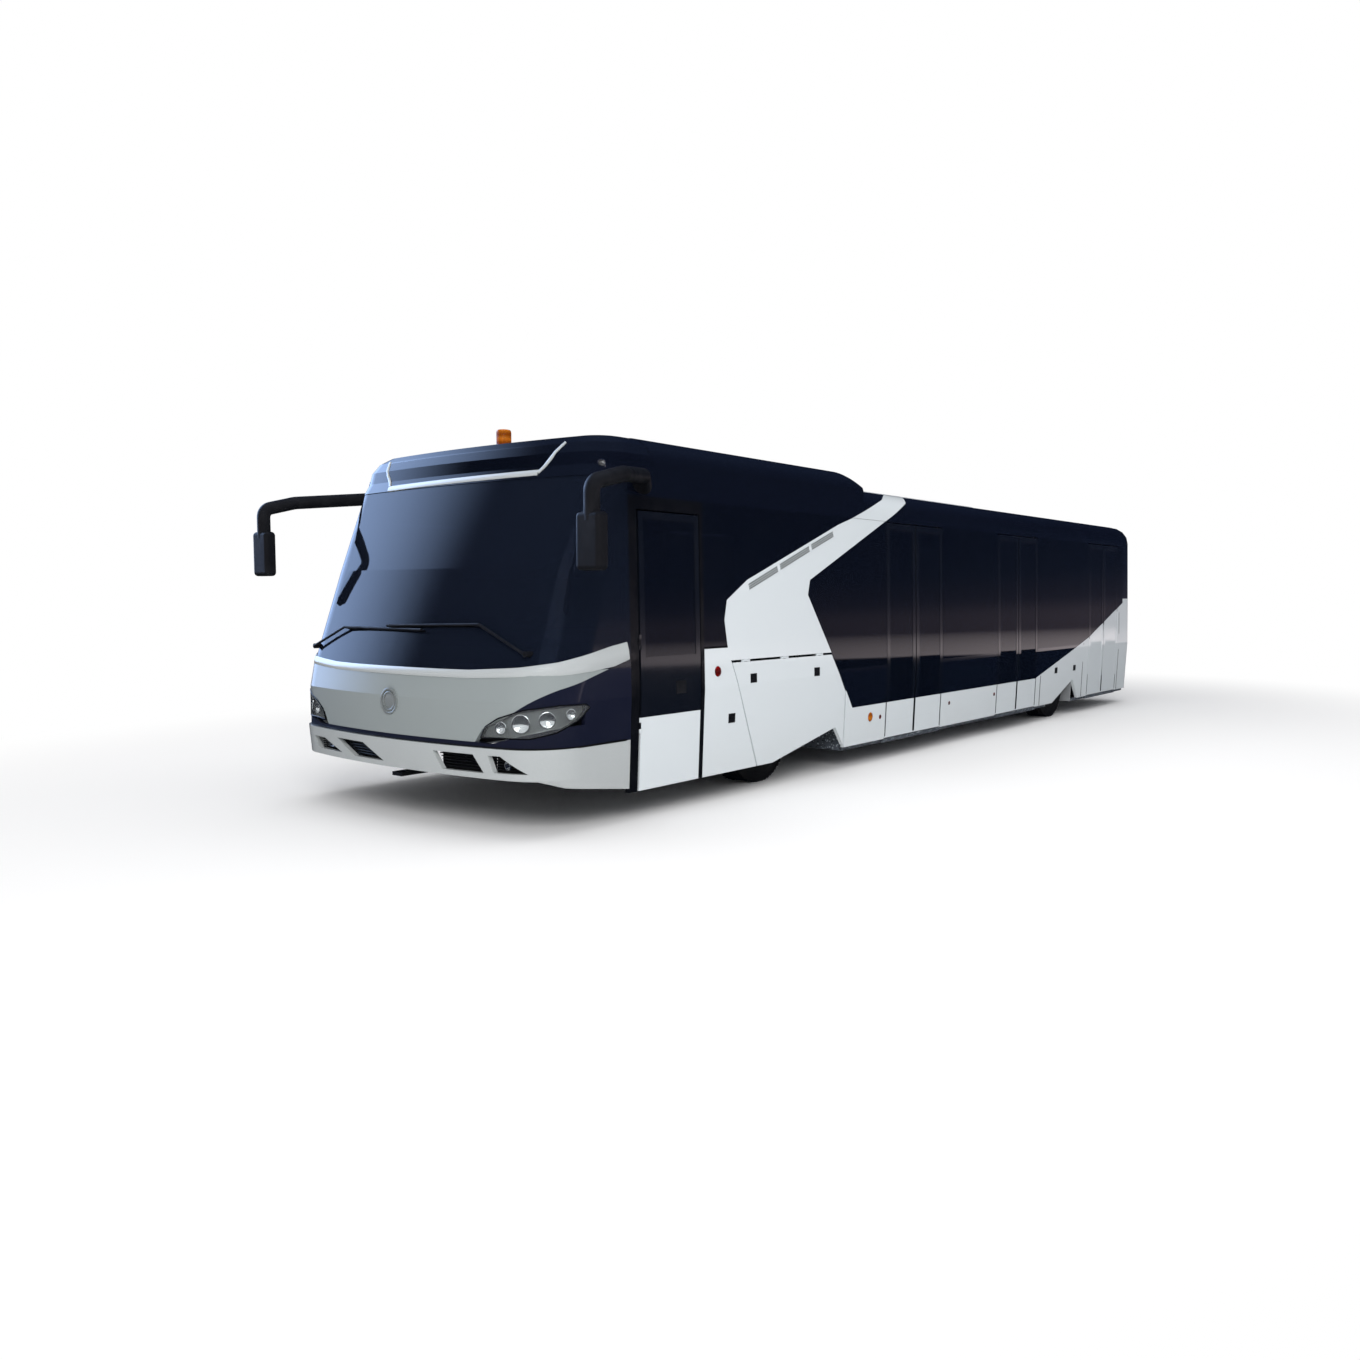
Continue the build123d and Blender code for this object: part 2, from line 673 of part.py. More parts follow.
def side_skirts():
    """White skirts between the doors, and the hatches ahead of the front wheels."""
    outlines = [
        [(HATCH_FRONT_Y, SKIRT_Z), (HATCH_FRONT_Y, HATCH_TOP_Z), Z_FRONT[-1], Z_FRONT_FOOT[0],
         (Z_FRONT_FOOT[1][0] - SEAM, SKIRT_Z)],
        [(SKIRT_FRONT_Y, SKIRT_Z), (SKIRT_FRONT_Y, z_rear_z(SKIRT_FRONT_Y)), KNEE_FOOT,
         (D1_FRONT, SKIRT_TOP_Z), (D1_FRONT, SKIRT_Z)],
        rectangle(D1_REAR, D2_FRONT, SKIRT_Z, SKIRT_TOP_Z),
        [(D2_REAR, SKIRT_Z), ARCH_REAR[0], ARCH_REAR[1], ARCH_REAR[2], (D3_FRONT, SKIRT_Z),
         (D3_FRONT, white_z(D3_FRONT)), (D2_REAR, white_z(D2_REAR))],
        [(D3_REAR, SKIRT_Z), (REAR_SHELL_Y, SKIRT_Z), (REAR_SHELL_Y, white_z(REAR_SHELL_Y)),
         (D3_REAR, white_z(D3_REAR))],
    ]
    return both_sides([side_panel(outline) for outline in outlines])


def rise_y(z):
    """Place where the white paint's rising edge reaches a height."""
    (y0, z0), (y1, z1), _ = WHITE_RISE
    return y0 + (y1 - y0) * (z - z0) / (z1 - z0)


def waist_panels():
    """Dark panels between the white skirts and the glass."""
    outlines = [
        [(z_rear_y(GLASS_SILL_Z), GLASS_SILL_Z), (z_rear_y(SKIRT_TOP_Z), SKIRT_TOP_Z),
         (D1_FRONT, SKIRT_TOP_Z), (D1_FRONT, GLASS_SILL_Z)],
        rectangle(D1_REAR, D2_FRONT, SKIRT_TOP_Z, GLASS_SILL_Z),
        [(D2_REAR, white_z(D2_REAR)), (rise_y(GLASS_SILL_Z), GLASS_SILL_Z), (D2_REAR, GLASS_SILL_Z)],
    ]
    return both_sides([side_panel(outline) for outline in outlines])


def window_panes():
    """Bonded panes along the sides, the sign's glass and the rear window."""
    outlines = [
        [(HATCH_FRONT_Y, PANEL_TOP_Z), *Z_FRONT, (HATCH_FRONT_Y, HATCH_TOP_Z)],
        [(z_rear_y(GLASS_SILL_Z), GLASS_SILL_Z), *Z_REAR[1:], (D1_FRONT, PANEL_TOP_Z),
         (D1_FRONT, GLASS_SILL_Z)],
        rectangle(D1_REAR, D2_FRONT, GLASS_SILL_Z, PANEL_TOP_Z),
        [(D2_REAR, GLASS_SILL_Z), (rise_y(GLASS_SILL_Z), GLASS_SILL_Z), (D3_FRONT, white_z(D3_FRONT)),
         (D3_FRONT, PANEL_TOP_Z), (D2_REAR, PANEL_TOP_Z)],
        [(D3_REAR, white_z(D3_REAR)), (REAR_SHELL_Y, white_z(REAR_SHELL_Y)), (REAR_SHELL_Y, PANEL_TOP_Z),
         (D3_REAR, PANEL_TOP_Z)],
    ]
    side_panes = both_sides([side_panel(outline, GLASS) for outline in outlines])
    return [*side_panes, sign_glass(), rear_window()]


def wall_posts():
    """Posts inside the wall at the edges of the doors."""
    posts = []
    for front, rear in OPENINGS_Y:
        for y0 in (front - POST, rear):
            posts.append(side_panel(rectangle(y0, y0 + POST, FLOOR_Z, PANEL_TOP_Z), POST, WALL))
    return both_sides(posts)


def door_operators():
    """Drive housings over the doors, with the bores of the leaf pivots."""
    parts = []
    for front, rear in OPENINGS_Y:
        housing = box(1290, HALF_WIDTH, front, rear, PANEL_TOP_Z, PANEL_TOP_Z + 120) & main_cavity
        for y in pivot_ys(front, rear):
            bore = rod((DOOR_SWING_X, y, PANEL_TOP_Z - 5), (DOOR_SWING_X, y, PANEL_TOP_Z + TUBE_IN_HEAD + 6),
                       PIVOT_R + RUNNING)
            housing -= bore
        parts.append(housing)
    return both_sides(parts)


def pivot_ys(front, rear):
    """Swing axes of the two leaves of a door."""
    return front + DOOR_GAP + DOOR_SWING_INSET, rear - DOOR_GAP - DOOR_SWING_INSET


def door_leaf(centre, end):
    """Left-hand leaf at the front (end -1) or rear (end 1) of a door, with its window cut."""
    outer_y = centre + end * DOOR_WIDTH / 2
    inner_y = centre + end * DOOR_MEETING_GAP / 2
    y0, y1 = sorted((outer_y, inner_y))
    bottom = FLOOR_Z + DOOR_CLEARANCE
    leaf = side_panel(rectangle(y0, y1, bottom, DOOR_TOP_Z))
    window = rectangle(y0 + DOOR_FRAME, y1 - DOOR_FRAME, DOOR_WINDOW_SILL_Z, DOOR_TOP_Z - DOOR_FRAME)
    leaf -= along_x(window, 0, BIG)
    pivot_y = outer_y - end * DOOR_SWING_INSET
    tube = rod((DOOR_SWING_X, pivot_y, FLOOR_Z - TUBE_BELOW_FLOOR),
               (DOOR_SWING_X, pivot_y, PANEL_TOP_Z + TUBE_IN_HEAD), PIVOT_R)
    reach, half = FIN
    fin = box(DOOR_SWING_X, reach, pivot_y - half, pivot_y + half, bottom, DOOR_TOP_Z)
    return leaf + tube + fin


def cabin_floor():
    """Low passenger floor, with a sill under every door and room for the rear wheels."""
    low = FLOOR_Z - FLOOR_T
    side = x_outer(SKIRT_Z) - WALL
    floor = box(-side, side, BULKHEAD_Y, REAR_SHELL_Y, low, FLOOR_Z)
    z, half, nose, corner, bow = REAR_LOW_ROWS[0]
    tail = shell_outline(z, half - WALL, nose + WALL, corner - WALL, bow - WALL, -REAR_SHELL_Y)
    floor += mirror(extrude(tail, amount=FLOOR_T, dir=(0, 0, -1)), about=Plane.XZ)
    reach = x_outer(SKIRT_Z) - 5
    for front, rear in OPENINGS_Y:
        floor += box(-reach, reach, front, rear, low, FLOOR_Z)
    for side in (1, -1):
        for y in [y for front, rear in OPENINGS_Y for y in pivot_ys(front, rear)]:
            floor -= rod((side * DOOR_SWING_X, y, FLOOR_Z - TUBE_BELOW_FLOOR - 2),
                         (side * DOOR_SWING_X, y, FLOOR_Z + 5), PIVOT_R + RUNNING)
        x0, x1 = sorted((side * WHEEL_BOX_X, side * BIG))
        floor -= box(x0, x1, WHEEL_BOX_Y[0], WHEEL_BOX_Y[1], 0, FLOOR_Z + 5)
    return floor


def wheel_boxes():
    """Boxes over the rear wheels, inside the cabin."""
    y0, y1 = WHEEL_BOX_Y
    outer = box(WHEEL_BOX_X, BIG, y0, y1, FLOOR_Z - FLOOR_T, WHEEL_BOX_Z)
    t = WHEEL_BOX_T
    inner = box(WHEEL_BOX_X + t, BIG, y0 + t, y1 - t, 0, WHEEL_BOX_Z - t)
    return both_sides([(outer - inner) & main_cavity])


def cab_platform():
    """Raised floor over the engine and front wheels in its panels, with wells for the cab steps."""
    half = x_outer(PLATFORM_Z) - WALL - PLATFORM_GAP
    rise = (PLATFORM_Z - WAIST_Z) / (SCREEN_SILL_Z - WAIST_Z)
    (_, _, nose0, corner, bow), (_, _, nose1, _, _) = PANEL_ROWS[1:]
    nose = nose0 + (nose1 - nose0) * rise + WALL + PLATFORM_GAP
    front = extrude(shell_outline(PLATFORM_Z, half, nose, corner - WALL, bow - WALL, HINGE_JAMB_Y),
                    amount=PLATFORM_T, dir=(0, 0, -1))
    side = HALF_WIDTH - WALL - DOOR_CLEARANCE
    # Floor panel: half width, front, rear
    bands = [(side, HINGE_JAMB_Y, STEP_Y[0]), (STEP_X[1], *STEP_Y), (side, STEP_Y[1], BULKHEAD_Y)]
    floors = [box(-x, x, y0, y1, PLATFORM_Z - PLATFORM_T, PLATFORM_Z) for x, y0, y1 in bands]
    return [front, *floors, bulkhead(), cab_partition(), *cab_steps()]


def bulkhead():
    """Upright wall between the engine bay and the low floor."""
    half = x_outer(SKIRT_Z) - WALL
    return box(-half, half, BULKHEAD_Y - PLATFORM_T, BULKHEAD_Y, FLOOR_Z - FLOOR_T, PLATFORM_Z - PLATFORM_T)


def cab_partition():
    """Half-height wall behind the driver."""
    half = x_outer(PARTITION_Z) - WALL
    return box(-half, half, HATCH_FRONT_Y, HATCH_FRONT_Y + PLATFORM_T, PLATFORM_Z, PARTITION_Z)


def cab_steps():
    """Step inside each cab door, hung on a riser from the platform."""
    riser_in, riser_out, reach = STEP_X
    tread = box(riser_in, reach, *STEP_Y, *STEP_Z)
    riser = box(riser_in, riser_out, *STEP_Y, STEP_Z[1], PLATFORM_Z - PLATFORM_T)
    return both_sides([tread, riser])


def chassis_frame():
    """Front frame in its members: rails, stubs that carry the cab floor, cross-members, tow eye."""
    x0, x1 = RAIL_X
    top = RAIL_Z + RAIL_HEIGHT
    rail = box(x0, x1, RAIL_FRONT_Y, BULKHEAD_Y - PLATFORM_T, RAIL_Z, top)
    stubs = [box(x0, x1, y, y + MEMBER, top, PLATFORM_Z - PLATFORM_T) for y in STUBS_Y]
    members = [box(-x0, x0, y, y + MEMBER, RAIL_Z, RAIL_Z + MEMBER) for y in CROSS_MEMBERS_Y]
    return [*both_sides([rail, *stubs]), *members, tow_eye()]


def tow_eye():
    """Towing plate under the bumper's lower edge, hung from the first cross-member."""
    half, low = TOW_EYE_HALF, TOW_EYE_Z - TOW_EYE_T
    y0, y1 = CROSS_MEMBERS_Y[0], CROSS_MEMBERS_Y[0] + MEMBER
    plate = box(-half, half, TOW_EYE_Y - half, y1, low, TOW_EYE_Z)
    hanger = box(-half, half, y0, y1, TOW_EYE_Z, RAIL_Z)
    hole = rod((0, TOW_EYE_Y, low - TOW_EYE_T), (0, TOW_EYE_Y, TOW_EYE_Z + TOW_EYE_T), TOW_HOLE_R)
    return plate + hanger - hole


def engine_block():
    """Engine and gearbox as one plain mass on the cross-members."""
    z0 = RAIL_Z + MEMBER
    return box(-340, 340, CROSS_MEMBERS_Y[1] - 60, CROSS_MEMBERS_Y[2] + 140, z0, PLATFORM_Z - PLATFORM_T - 20)


def front_axle():
    """Beam between the kingpin eyes."""
    beam = box(-KINGPIN_X, KINGPIN_X, FRONT_AXLE_Y - BEAM_HALF, FRONT_AXLE_Y + BEAM_HALF,
               TYRE_R - BEAM_HALF, TYRE_R + BEAM_HALF)
    for side in (1, -1):
        x = side * KINGPIN_X
        beam += rod((x, FRONT_AXLE_Y, TYRE_R - EYE_HALF), (x, FRONT_AXLE_Y, TYRE_R + EYE_HALF), EYE_R)
    for side in (1, -1):
        x = side * KINGPIN_X
        beam -= rod((x, FRONT_AXLE_Y, 0), (x, FRONT_AXLE_Y, 2 * TYRE_R), KINGPIN_R + RUNNING)
    return beam


def axles():
    """Front axle and the trailing arms of the rear wheels."""
    return [front_axle(), *air_springs(), *rear_arms()]


def air_springs():
    """Air bellows between the beam and the rails."""
    x = (RAIL_X[0] + RAIL_X[1]) / 2
    return both_sides([rod((x, FRONT_AXLE_Y, TYRE_R + BEAM_HALF), (x, FRONT_AXLE_Y, RAIL_Z), BELLOWS_R)])


def steering_knuckle():
    """Left knuckle: two lugs round the eye, the kingpin and the wheel spindle."""
    low, high = TYRE_R - EYE_HALF - LUG_GAP, TYRE_R + EYE_HALF + LUG_GAP
    x, y = KINGPIN_X, FRONT_AXLE_Y
    plate_x = x + EYE_R + 6
    knuckle = rod((x, y, low - LUG_T), (x, y, high + LUG_T), KINGPIN_R)
    for z0 in (low - LUG_T, high):
        knuckle += rod((x, y, z0), (x, y, z0 + LUG_T), EYE_R)
        knuckle += box(x, plate_x + 26, y - EYE_R, y + EYE_R, z0, z0 + LUG_T)
    knuckle += box(plate_x, plate_x + 26, y - EYE_R, y + EYE_R, low - LUG_T, high + LUG_T)
    return knuckle + rod((plate_x, y, TYRE_R), (x + KINGPIN_OFFSET + SPINDLE_REACH, y, TYRE_R), SPINDLE_R)


def tyre(x, y):
    """Tyre with rounded shoulders, turned about its axle, on the left side."""
    half = TYRE_WIDTH / 2
    outline = [(BEAD_R, -half + 25), (TYRE_R - 90, -half), (TYRE_R - 28, -half + 8), (TYRE_R, -half + 40),
               (TYRE_R, half - 40), (TYRE_R - 28, half - 8), (TYRE_R - 90, half), (BEAD_R, half - 25)]
    face = make_face(Polyline([(x + w, y, TYRE_R + r) for r, w in outline], close=True))
    return revolve(face, Axis((x, y, TYRE_R), (1, 0, 0)), 360)


def rim(x, y):
    """Steel rim: barrel, dished disc and hub with a running bore."""
    half = TYRE_WIDTH / 2 - 25
    disc = HUB_HALF + 14
    bore, barrel = SPINDLE_R + RUNNING, BEAD_R - RIM_T
    outline = [(bore, -HUB_HALF), (HUB_R, -HUB_HALF), (HUB_R, HUB_HALF - 4), (DISC_R, disc),
               (barrel, disc - DISC_T), (barrel, -half), (BEAD_R, -half), (BEAD_R, half),
               (barrel, half), (barrel, disc), (DISC_R, disc + DISC_T), (HUB_R, HUB_HALF + 30),
               (bore, HUB_HALF + 30)]
    face = make_face(Polyline([(x + w, y, TYRE_R + r) for r, w in outline], close=True))
    return revolve(face, Axis((x, y, TYRE_R), (1, 0, 0)), 360)


def rear_arms():
    """Trailing arms with the rear wheel spindles, against the wheel boxes."""
    x0 = WHEEL_BOX_X + WHEEL_BOX_T
    x1 = REAR_WHEEL_X - TYRE_WIDTH / 2 - 8
    y0, y1 = WHEEL_BOX_Y[0] + WHEEL_BOX_T, REAR_AXLE_Y + ARM_HALF
    arm = box(x0, x1, y0, y1, TYRE_R - ARM_HALF, TYRE_R + ARM_HALF)
    spindle = rod((x1, REAR_AXLE_Y, TYRE_R), (REAR_WHEEL_X + SPINDLE_REACH, REAR_AXLE_Y, TYRE_R), SPINDLE_R)
    return both_sides([arm + spindle])


def dashboard():
    """Dashboard across the cab."""
    outline = [(-6640, PLATFORM_Z), (-6100, PLATFORM_Z), (-6180, 1380), (-6420, 1480), (-6640, 1400)]
    return along_x(outline, -1250, 1250)


def steering_wheel():
    """Steering wheel on its column, over the dashboard."""
    tilt = 35
    ring = Torus(225, 16)
    hub = Cylinder(50, 24)
    spokes = Box(430, 30, 14)
    wheel = Pos(*WHEEL_CENTRE) * Rot(tilt, 0, 0) * (ring + hub + spokes)
    foot = (WHEEL_CENTRE[0], WHEEL_CENTRE[1] - 190, WHEEL_CENTRE[2] - 270)
    column = rod(WHEEL_CENTRE, foot, 28)
    return wheel + column - dashboard()


def driver_seat():
    """Driver's seat: pedestal, cushion and back."""
    x, y = SEAT
    seat = box(x - 180, x + 180, y - 200, y + 220, PLATFORM_Z, PLATFORM_Z + 330)
    seat += box(x - 250, x + 250, y - 260, y + 260, PLATFORM_Z + 330, PLATFORM_Z + 460)
    seat += box(x - 240, x + 240, y + 180, y + 300, PLATFORM_Z + 460, PLATFORM_Z + 1150)
    return seat


def grab_poles():
    """Upright poles from the floor to the roof, and the hand rails along them."""
    half = x_outer(EAVE_Z) - ROOF_RADIUS
    top = ROOF_TOP_Z - WALL + ROOF_CROWN * (1 - (POLE_X + POLE_R) / half) - 0.2
    poles = [rod((x, y, FLOOR_Z), (x, y, top), POLE_R) for x in (POLE_X, -POLE_X) for y in POLES_Y]
    return poles + hand_rails()


def hand_rails():
    """Hand rails that run along the poles."""
    x = POLE_X - POLE_R - HAND_RAIL_R - RAIL_GAP
    y0, y1 = POLES_Y[0] - 100, POLES_Y[-1] + 100
    return both_sides([rod((x, y0, HAND_RAIL_Z), (x, y1, HAND_RAIL_Z), HAND_RAIL_R)])


def rear_low_panel():
    """White lower half of the rear, with pockets for the lamps."""
    return rear_shell(REAR_LOW_ROWS) - tail_lamp_prism()


def tail_lamp_prism():
    """Outline of the tail lamps seen from behind."""
    x0, x1, z0, z1 = TAIL_LAMP
    left = box(x0, x1, REAR_Y - 300, REAR_Y + 100, z0, z1)
    return left + mirrored(left)


def tail_lamps():
    """Tail lamps in the lower rear panel."""
    return rear_shell(REAR_LOW_ROWS) & tail_lamp_prism()


def rear_window_prism():
    """Outline of the rear window seen from behind."""
    x0, x1, z0, z1 = REAR_WINDOW
    return box(x0, x1, REAR_Y - 300, REAR_Y + 100, z0, z1)


def rear_high_panel():
    """Dark upper half of the rear, with its window cut."""
    return rear_shell(REAR_HIGH_ROWS) - rear_window_prism()


def rear_window():
    """Rear window pane."""
    pane = mirror(end_shell(REAR_HIGH_ROWS, -REAR_SHELL_Y, GLASS), about=Plane.XZ)
    return pane & rear_window_prism()


def rear_roof():
    """Rounded end of the main roof in its panels: the flat lid, and the bend in three strips."""
    outer = end_solid(REAR_TOP_ROWS, -REAR_SHELL_Y)
    inner = end_solid(REAR_TOP_ROWS, -REAR_SHELL_Y, WALL)
    flat = lid(REAR_TOP_ROWS, -REAR_SHELL_Y, WALL)
    bend = (outer - inner) - flat
    x = ROOF_STRIP_X
    strips = [bend & box(x0, x1, -FAR, 0, 0, FAR) for x0, x1 in [(-BIG, -x), (-x, x), (x, BIG)]]
    return [mirror(piece, about=Plane.XZ) for piece in [flat, *strips]]


def mirrors():
    """Mirror heads on arms that reach forward from the raised roof's sides."""
    root, elbow = Vector(1440, -5560, 2650), Vector(1690, -5800, 2700)
    path = FilletPolyline(
        root, elbow, (MIRROR_X, -6420, 2640), (MIRROR_X, MIRROR_Y, 2560),
        (MIRROR_X, MIRROR_Y, MIRROR_HEAD_TOP - 60), radius=90)
    arm = sweep(Plane(path @ 0, z_dir=path % 0) * Circle(MIRROR_ARM_R), path)
    length = (elbow - root).length
    arm += Plane(root, z_dir=elbow - root) * Pos(0, 0, length / 2) * Cone(MIRROR_ROOT_R, MIRROR_ARM_R, length)
    width, depth, height = MIRROR_HEAD
    head = Pos(MIRROR_X, MIRROR_Y, MIRROR_HEAD_TOP - height / 2) * Box(width, depth, height)
    head = fillet(head.edges(), 35)
    bulk = body_bulk(DOME_EAVE_Z, DOME_RADIUS, 0, 0, FRONT_SHELL_Y, DOME_END_Y)
    return both_sides([(arm + head) - bulk])


# Wiper: x of the pivot, elbow and tip, then their heights
WIPERS = [(1320, 840, -190, 1360, 1570, 1545), (-1320, -840, 250, 1345, 1520, 1520)]


def screen_front_y(x, z):
    """Place of the windscreen's face at a point seen from the front."""
    (z0, _, nose0, _, bow), (z1, _, nose1, _, _) = SCREEN_ROWS[0], SCREEN_ROWS[1]
    nose = nose0 + (nose1 - nose0) * (z - z0) / (z1 - z0)
    return nose + bow - sqrt(bow ** 2 - x ** 2)


def wipers():
    """Two wipers parked along the foot of the windscreen."""
    arms = []
    glass = end_solid(SCREEN_ROWS, FRONT_SHELL_Y)
    for pivot_x, elbow_x, tip_x, pivot_z, elbow_z, tip_z in WIPERS:
        pivot = (pivot_x, screen_front_y(pivot_x, pivot_z) - WIPER_OFF, pivot_z)
        elbow = (elbow_x, screen_front_y(elbow_x, elbow_z) - WIPER_OFF, elbow_z)
        tip = (tip_x, screen_front_y(tip_x, tip_z) - WIPER_OFF, tip_z)
        boss = rod(pivot, (pivot_x, pivot[1] + 200, pivot_z), 2 * WIPER_R)
        arms.append((boss + rod(pivot, elbow, WIPER_R) + rod(elbow, tip, WIPER_R)) - glass)
    return arms


def write(name, shape):
    """Write one node: a single piece or several like pieces."""
    if isinstance(shape, (list, tuple)):
        shape = Compound(children=[solid for piece in shape for solid in piece.solids()])
    export_step(shape, f"parts/{name}.step")


NODES = {
    "front_bumper": front_bumper,
    "front_panel": front_panel,
    "front_lamps": front_lamps,
    "windscreen": windscreen,
    "header_panel": header_panel,
    "dome_roof": dome_roof,
    "dome_sides": dome_sides,
    "main_roof": main_roof,
    "roof_edges": roof_edges,
    "roof_pod": roof_pod,
    "cab_door_frames": cab_door_frames,
    "beacon": beacon,
    "slanted_panels": slanted_panels,
    "side_skirts": side_skirts,
    "waist_panels": waist_panels,
    "window_panes": window_panes,
    "wall_posts": wall_posts,
    "door_operators": door_operators,
    "cabin_floor": cabin_floor,
    "wheel_boxes": wheel_boxes,
    "cab_platform": cab_platform,
    "chassis_frame": chassis_frame,
    "engine_block": engine_block,
    "axles": axles,
    "dashboard": dashboard,
    "steering_wheel": steering_wheel,
    "driver_seat": driver_seat,
    "grab_poles": grab_poles,
    "rear_low_panel": rear_low_panel,
    "tail_lamps": tail_lamps,
    "rear_high_panel": rear_high_panel,
    "rear_roof": rear_roof,
    "mirrors": mirrors,
    "wipers": wipers,
}

for name, make in NODES.items():
    write(name, make())

# Moving pieces of each side: the left one is modelled and the right one is its mirror image
WHEELS = {"front": (KINGPIN_X + KINGPIN_OFFSET, FRONT_AXLE_Y), "rear": (REAR_WHEEL_X, REAR_AXLE_Y)}
MOVING = {"cab_door": cab_door(), "engine_flap": engine_flap(), "knuckle": steering_knuckle()}
for axle, (wheel_x, wheel_y) in WHEELS.items():
    MOVING[f"tyre_{axle}"] = tyre(wheel_x, wheel_y)
    MOVING[f"rim_{axle}"] = rim(wheel_x, wheel_y)
for number, centre in enumerate(DOOR_CENTRES_Y, 1):
    MOVING[f"door{number}_fore"] = door_leaf(centre, -1)
    MOVING[f"door{number}_aft"] = door_leaf(centre, 1)
for name, left in MOVING.items():
    write(f"{name}_left", left)
    write(f"{name}_right", mirrored(left))
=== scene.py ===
# %% [markdown]
# # Airport passenger bus
# A low apron bus: glossy blue-black body, dark bonded glass, white slanted side panels and a
# silver nose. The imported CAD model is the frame, and each cell dresses one part of it.
# Lengths are metres, the front looks along -Y and the bus's left side is +X.

# %% Load the frame
from math import cos, hypot, pi, radians, sin
import bmesh
import bpy
from mathutils import Matrix, Vector
from mathutils.bvhtree import BVHTree


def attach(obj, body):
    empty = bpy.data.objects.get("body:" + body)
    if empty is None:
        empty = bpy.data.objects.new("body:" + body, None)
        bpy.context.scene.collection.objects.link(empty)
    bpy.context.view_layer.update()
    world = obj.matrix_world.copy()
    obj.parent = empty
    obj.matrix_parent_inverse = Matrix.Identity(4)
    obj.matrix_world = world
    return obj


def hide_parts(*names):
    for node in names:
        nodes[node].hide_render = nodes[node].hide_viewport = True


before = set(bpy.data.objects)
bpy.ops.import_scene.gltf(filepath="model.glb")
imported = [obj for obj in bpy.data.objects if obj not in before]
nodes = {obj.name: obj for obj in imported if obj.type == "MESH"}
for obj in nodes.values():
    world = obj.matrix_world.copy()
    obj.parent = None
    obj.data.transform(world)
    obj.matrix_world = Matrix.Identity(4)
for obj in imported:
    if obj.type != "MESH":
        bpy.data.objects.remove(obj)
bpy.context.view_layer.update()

SIDES = {"left": 1, "right": -1}

# %% [markdown]
# ## Camera
# The photograph was taken from near the left front corner at about head height. Its lens and
# place were worked out from points seen on the bus, with the bus's assumed length as the scale.

# %% Camera
camera_data = bpy.data.cameras.new("camera")
camera_data.lens, camera_data.sensor_width = 29.36, 36
camera_data.clip_end = 500
camera = bpy.data.objects.new("camera", camera_data)
camera.location = (7.242, -12.324, 1.803)
camera.rotation_euler = (radians(90 - 4.46), 0, radians(38.52))
bpy.context.scene.collection.objects.link(camera)
bpy.context.scene.camera = camera
bpy.context.scene.view_settings.view_transform = "Standard"
print("camera lens", camera_data.lens)

# %% [markdown]
# ## Colour and node helpers
# Colours are written as the sRGB hex values a painter would read off, and one function turns
# them to the linear numbers that Blender's shaders want. One small function adds any node.

# %% Colour and node helpers
def linear(hex_text, alpha=1.0):
    """Linear colour from an sRGB hex value."""
    parts = [int(hex_text[i:i + 2], 16) / 255 for i in (1, 3, 5)]
    return (*[c / 12.92 if c <= 0.04045 else ((c + 0.055) / 1.055) ** 2.4 for c in parts], alpha)


def add(tree, kind, inputs=None, **settings):
    """Add a node with its settings, and with values or links for its inputs."""
    made = tree.nodes.new(kind)
    for name, value in settings.items():
        setattr(made, name, value)
    for key, value in (inputs or {}).items():
        if isinstance(value, bpy.types.NodeSocket):
            tree.links.new(value, made.inputs[key])
        else:
            made.inputs[key].default_value = value
    return made


def start_finish(name, **sockets):
    """New material with its constants on the shader's own sockets: (tree, shader, place)."""
    material = bpy.data.materials.new(name)
    material.use_nodes = True
    tree = material.node_tree
    shader = tree.nodes["Principled BSDF"]
    for key, value in sockets.items():
        shader.inputs[key.replace("_", " ")].default_value = value
    place = add(tree, "ShaderNodeTexCoord").outputs["Object"]
    return material, tree, shader, place


def noise(tree, place, size, detail=3.0, rough=0.5):
    """Noise whose blobs are about size metres across."""
    return add(tree, "ShaderNodeTexNoise",
               {"Vector": place, "Scale": 1 / size, "Detail": detail, "Roughness": rough}).outputs["Fac"]


def between(tree, factor, first, second):
    """Colour between two hex values."""
    mix = add(tree, "ShaderNodeMix", data_type="RGBA")
    for socket, value in zip(("A", "B"), (first, second)):
        slot = [s for s in mix.inputs if s.name == socket and s.type == "RGBA"][0]
        if isinstance(value, str):
            slot.default_value = linear(value)
        else:
            tree.links.new(value, slot)
    tree.links.new(factor, [s for s in mix.inputs if s.name == "Factor" and s.type == "VALUE"][0])
    return [s for s in mix.outputs if s.type == "RGBA"][0]


def span(tree, value, low, high, out_low, out_high):
    """Linear map of a value from one range to another, held at its ends."""
    return add(tree, "ShaderNodeMapRange", {"Value": value, "From Min": low, "From Max": high,
                                            "To Min": out_low, "To Max": out_high}).outputs["Result"]


def maths(tree, operation, first, second=0.0):
    """One step of arithmetic."""
    return add(tree, "ShaderNodeMath", {0: first, 1: second}, operation=operation).outputs[0]


def bump(tree, shader, height, strength, distance):
    """Surface relief from a height pattern, distance in metres."""
    made = add(tree, "ShaderNodeBump", {"Height": height, "Strength": strength, "Distance": distance})
    tree.links.new(made.outputs["Normal"], shader.inputs["Normal"])


print("helpers ready")

# %% [markdown]
# ## Paints
# The body is sprayed polyester paint under clear lacquer. Sprayed paint has a faint orange peel,
# about a centimetre across, and collects a little dust low down. All the body's colours share one
# recipe, so they are one function with their colours as values.

# %% Paints
WHITE, LEAF_DARK = "#DDE3E6", "#0B0F18"


def colour_with(tree, shader, colour):
    """Use a pattern as the shader's colour."""
    tree.links.new(colour, shader.inputs["Base Color"])


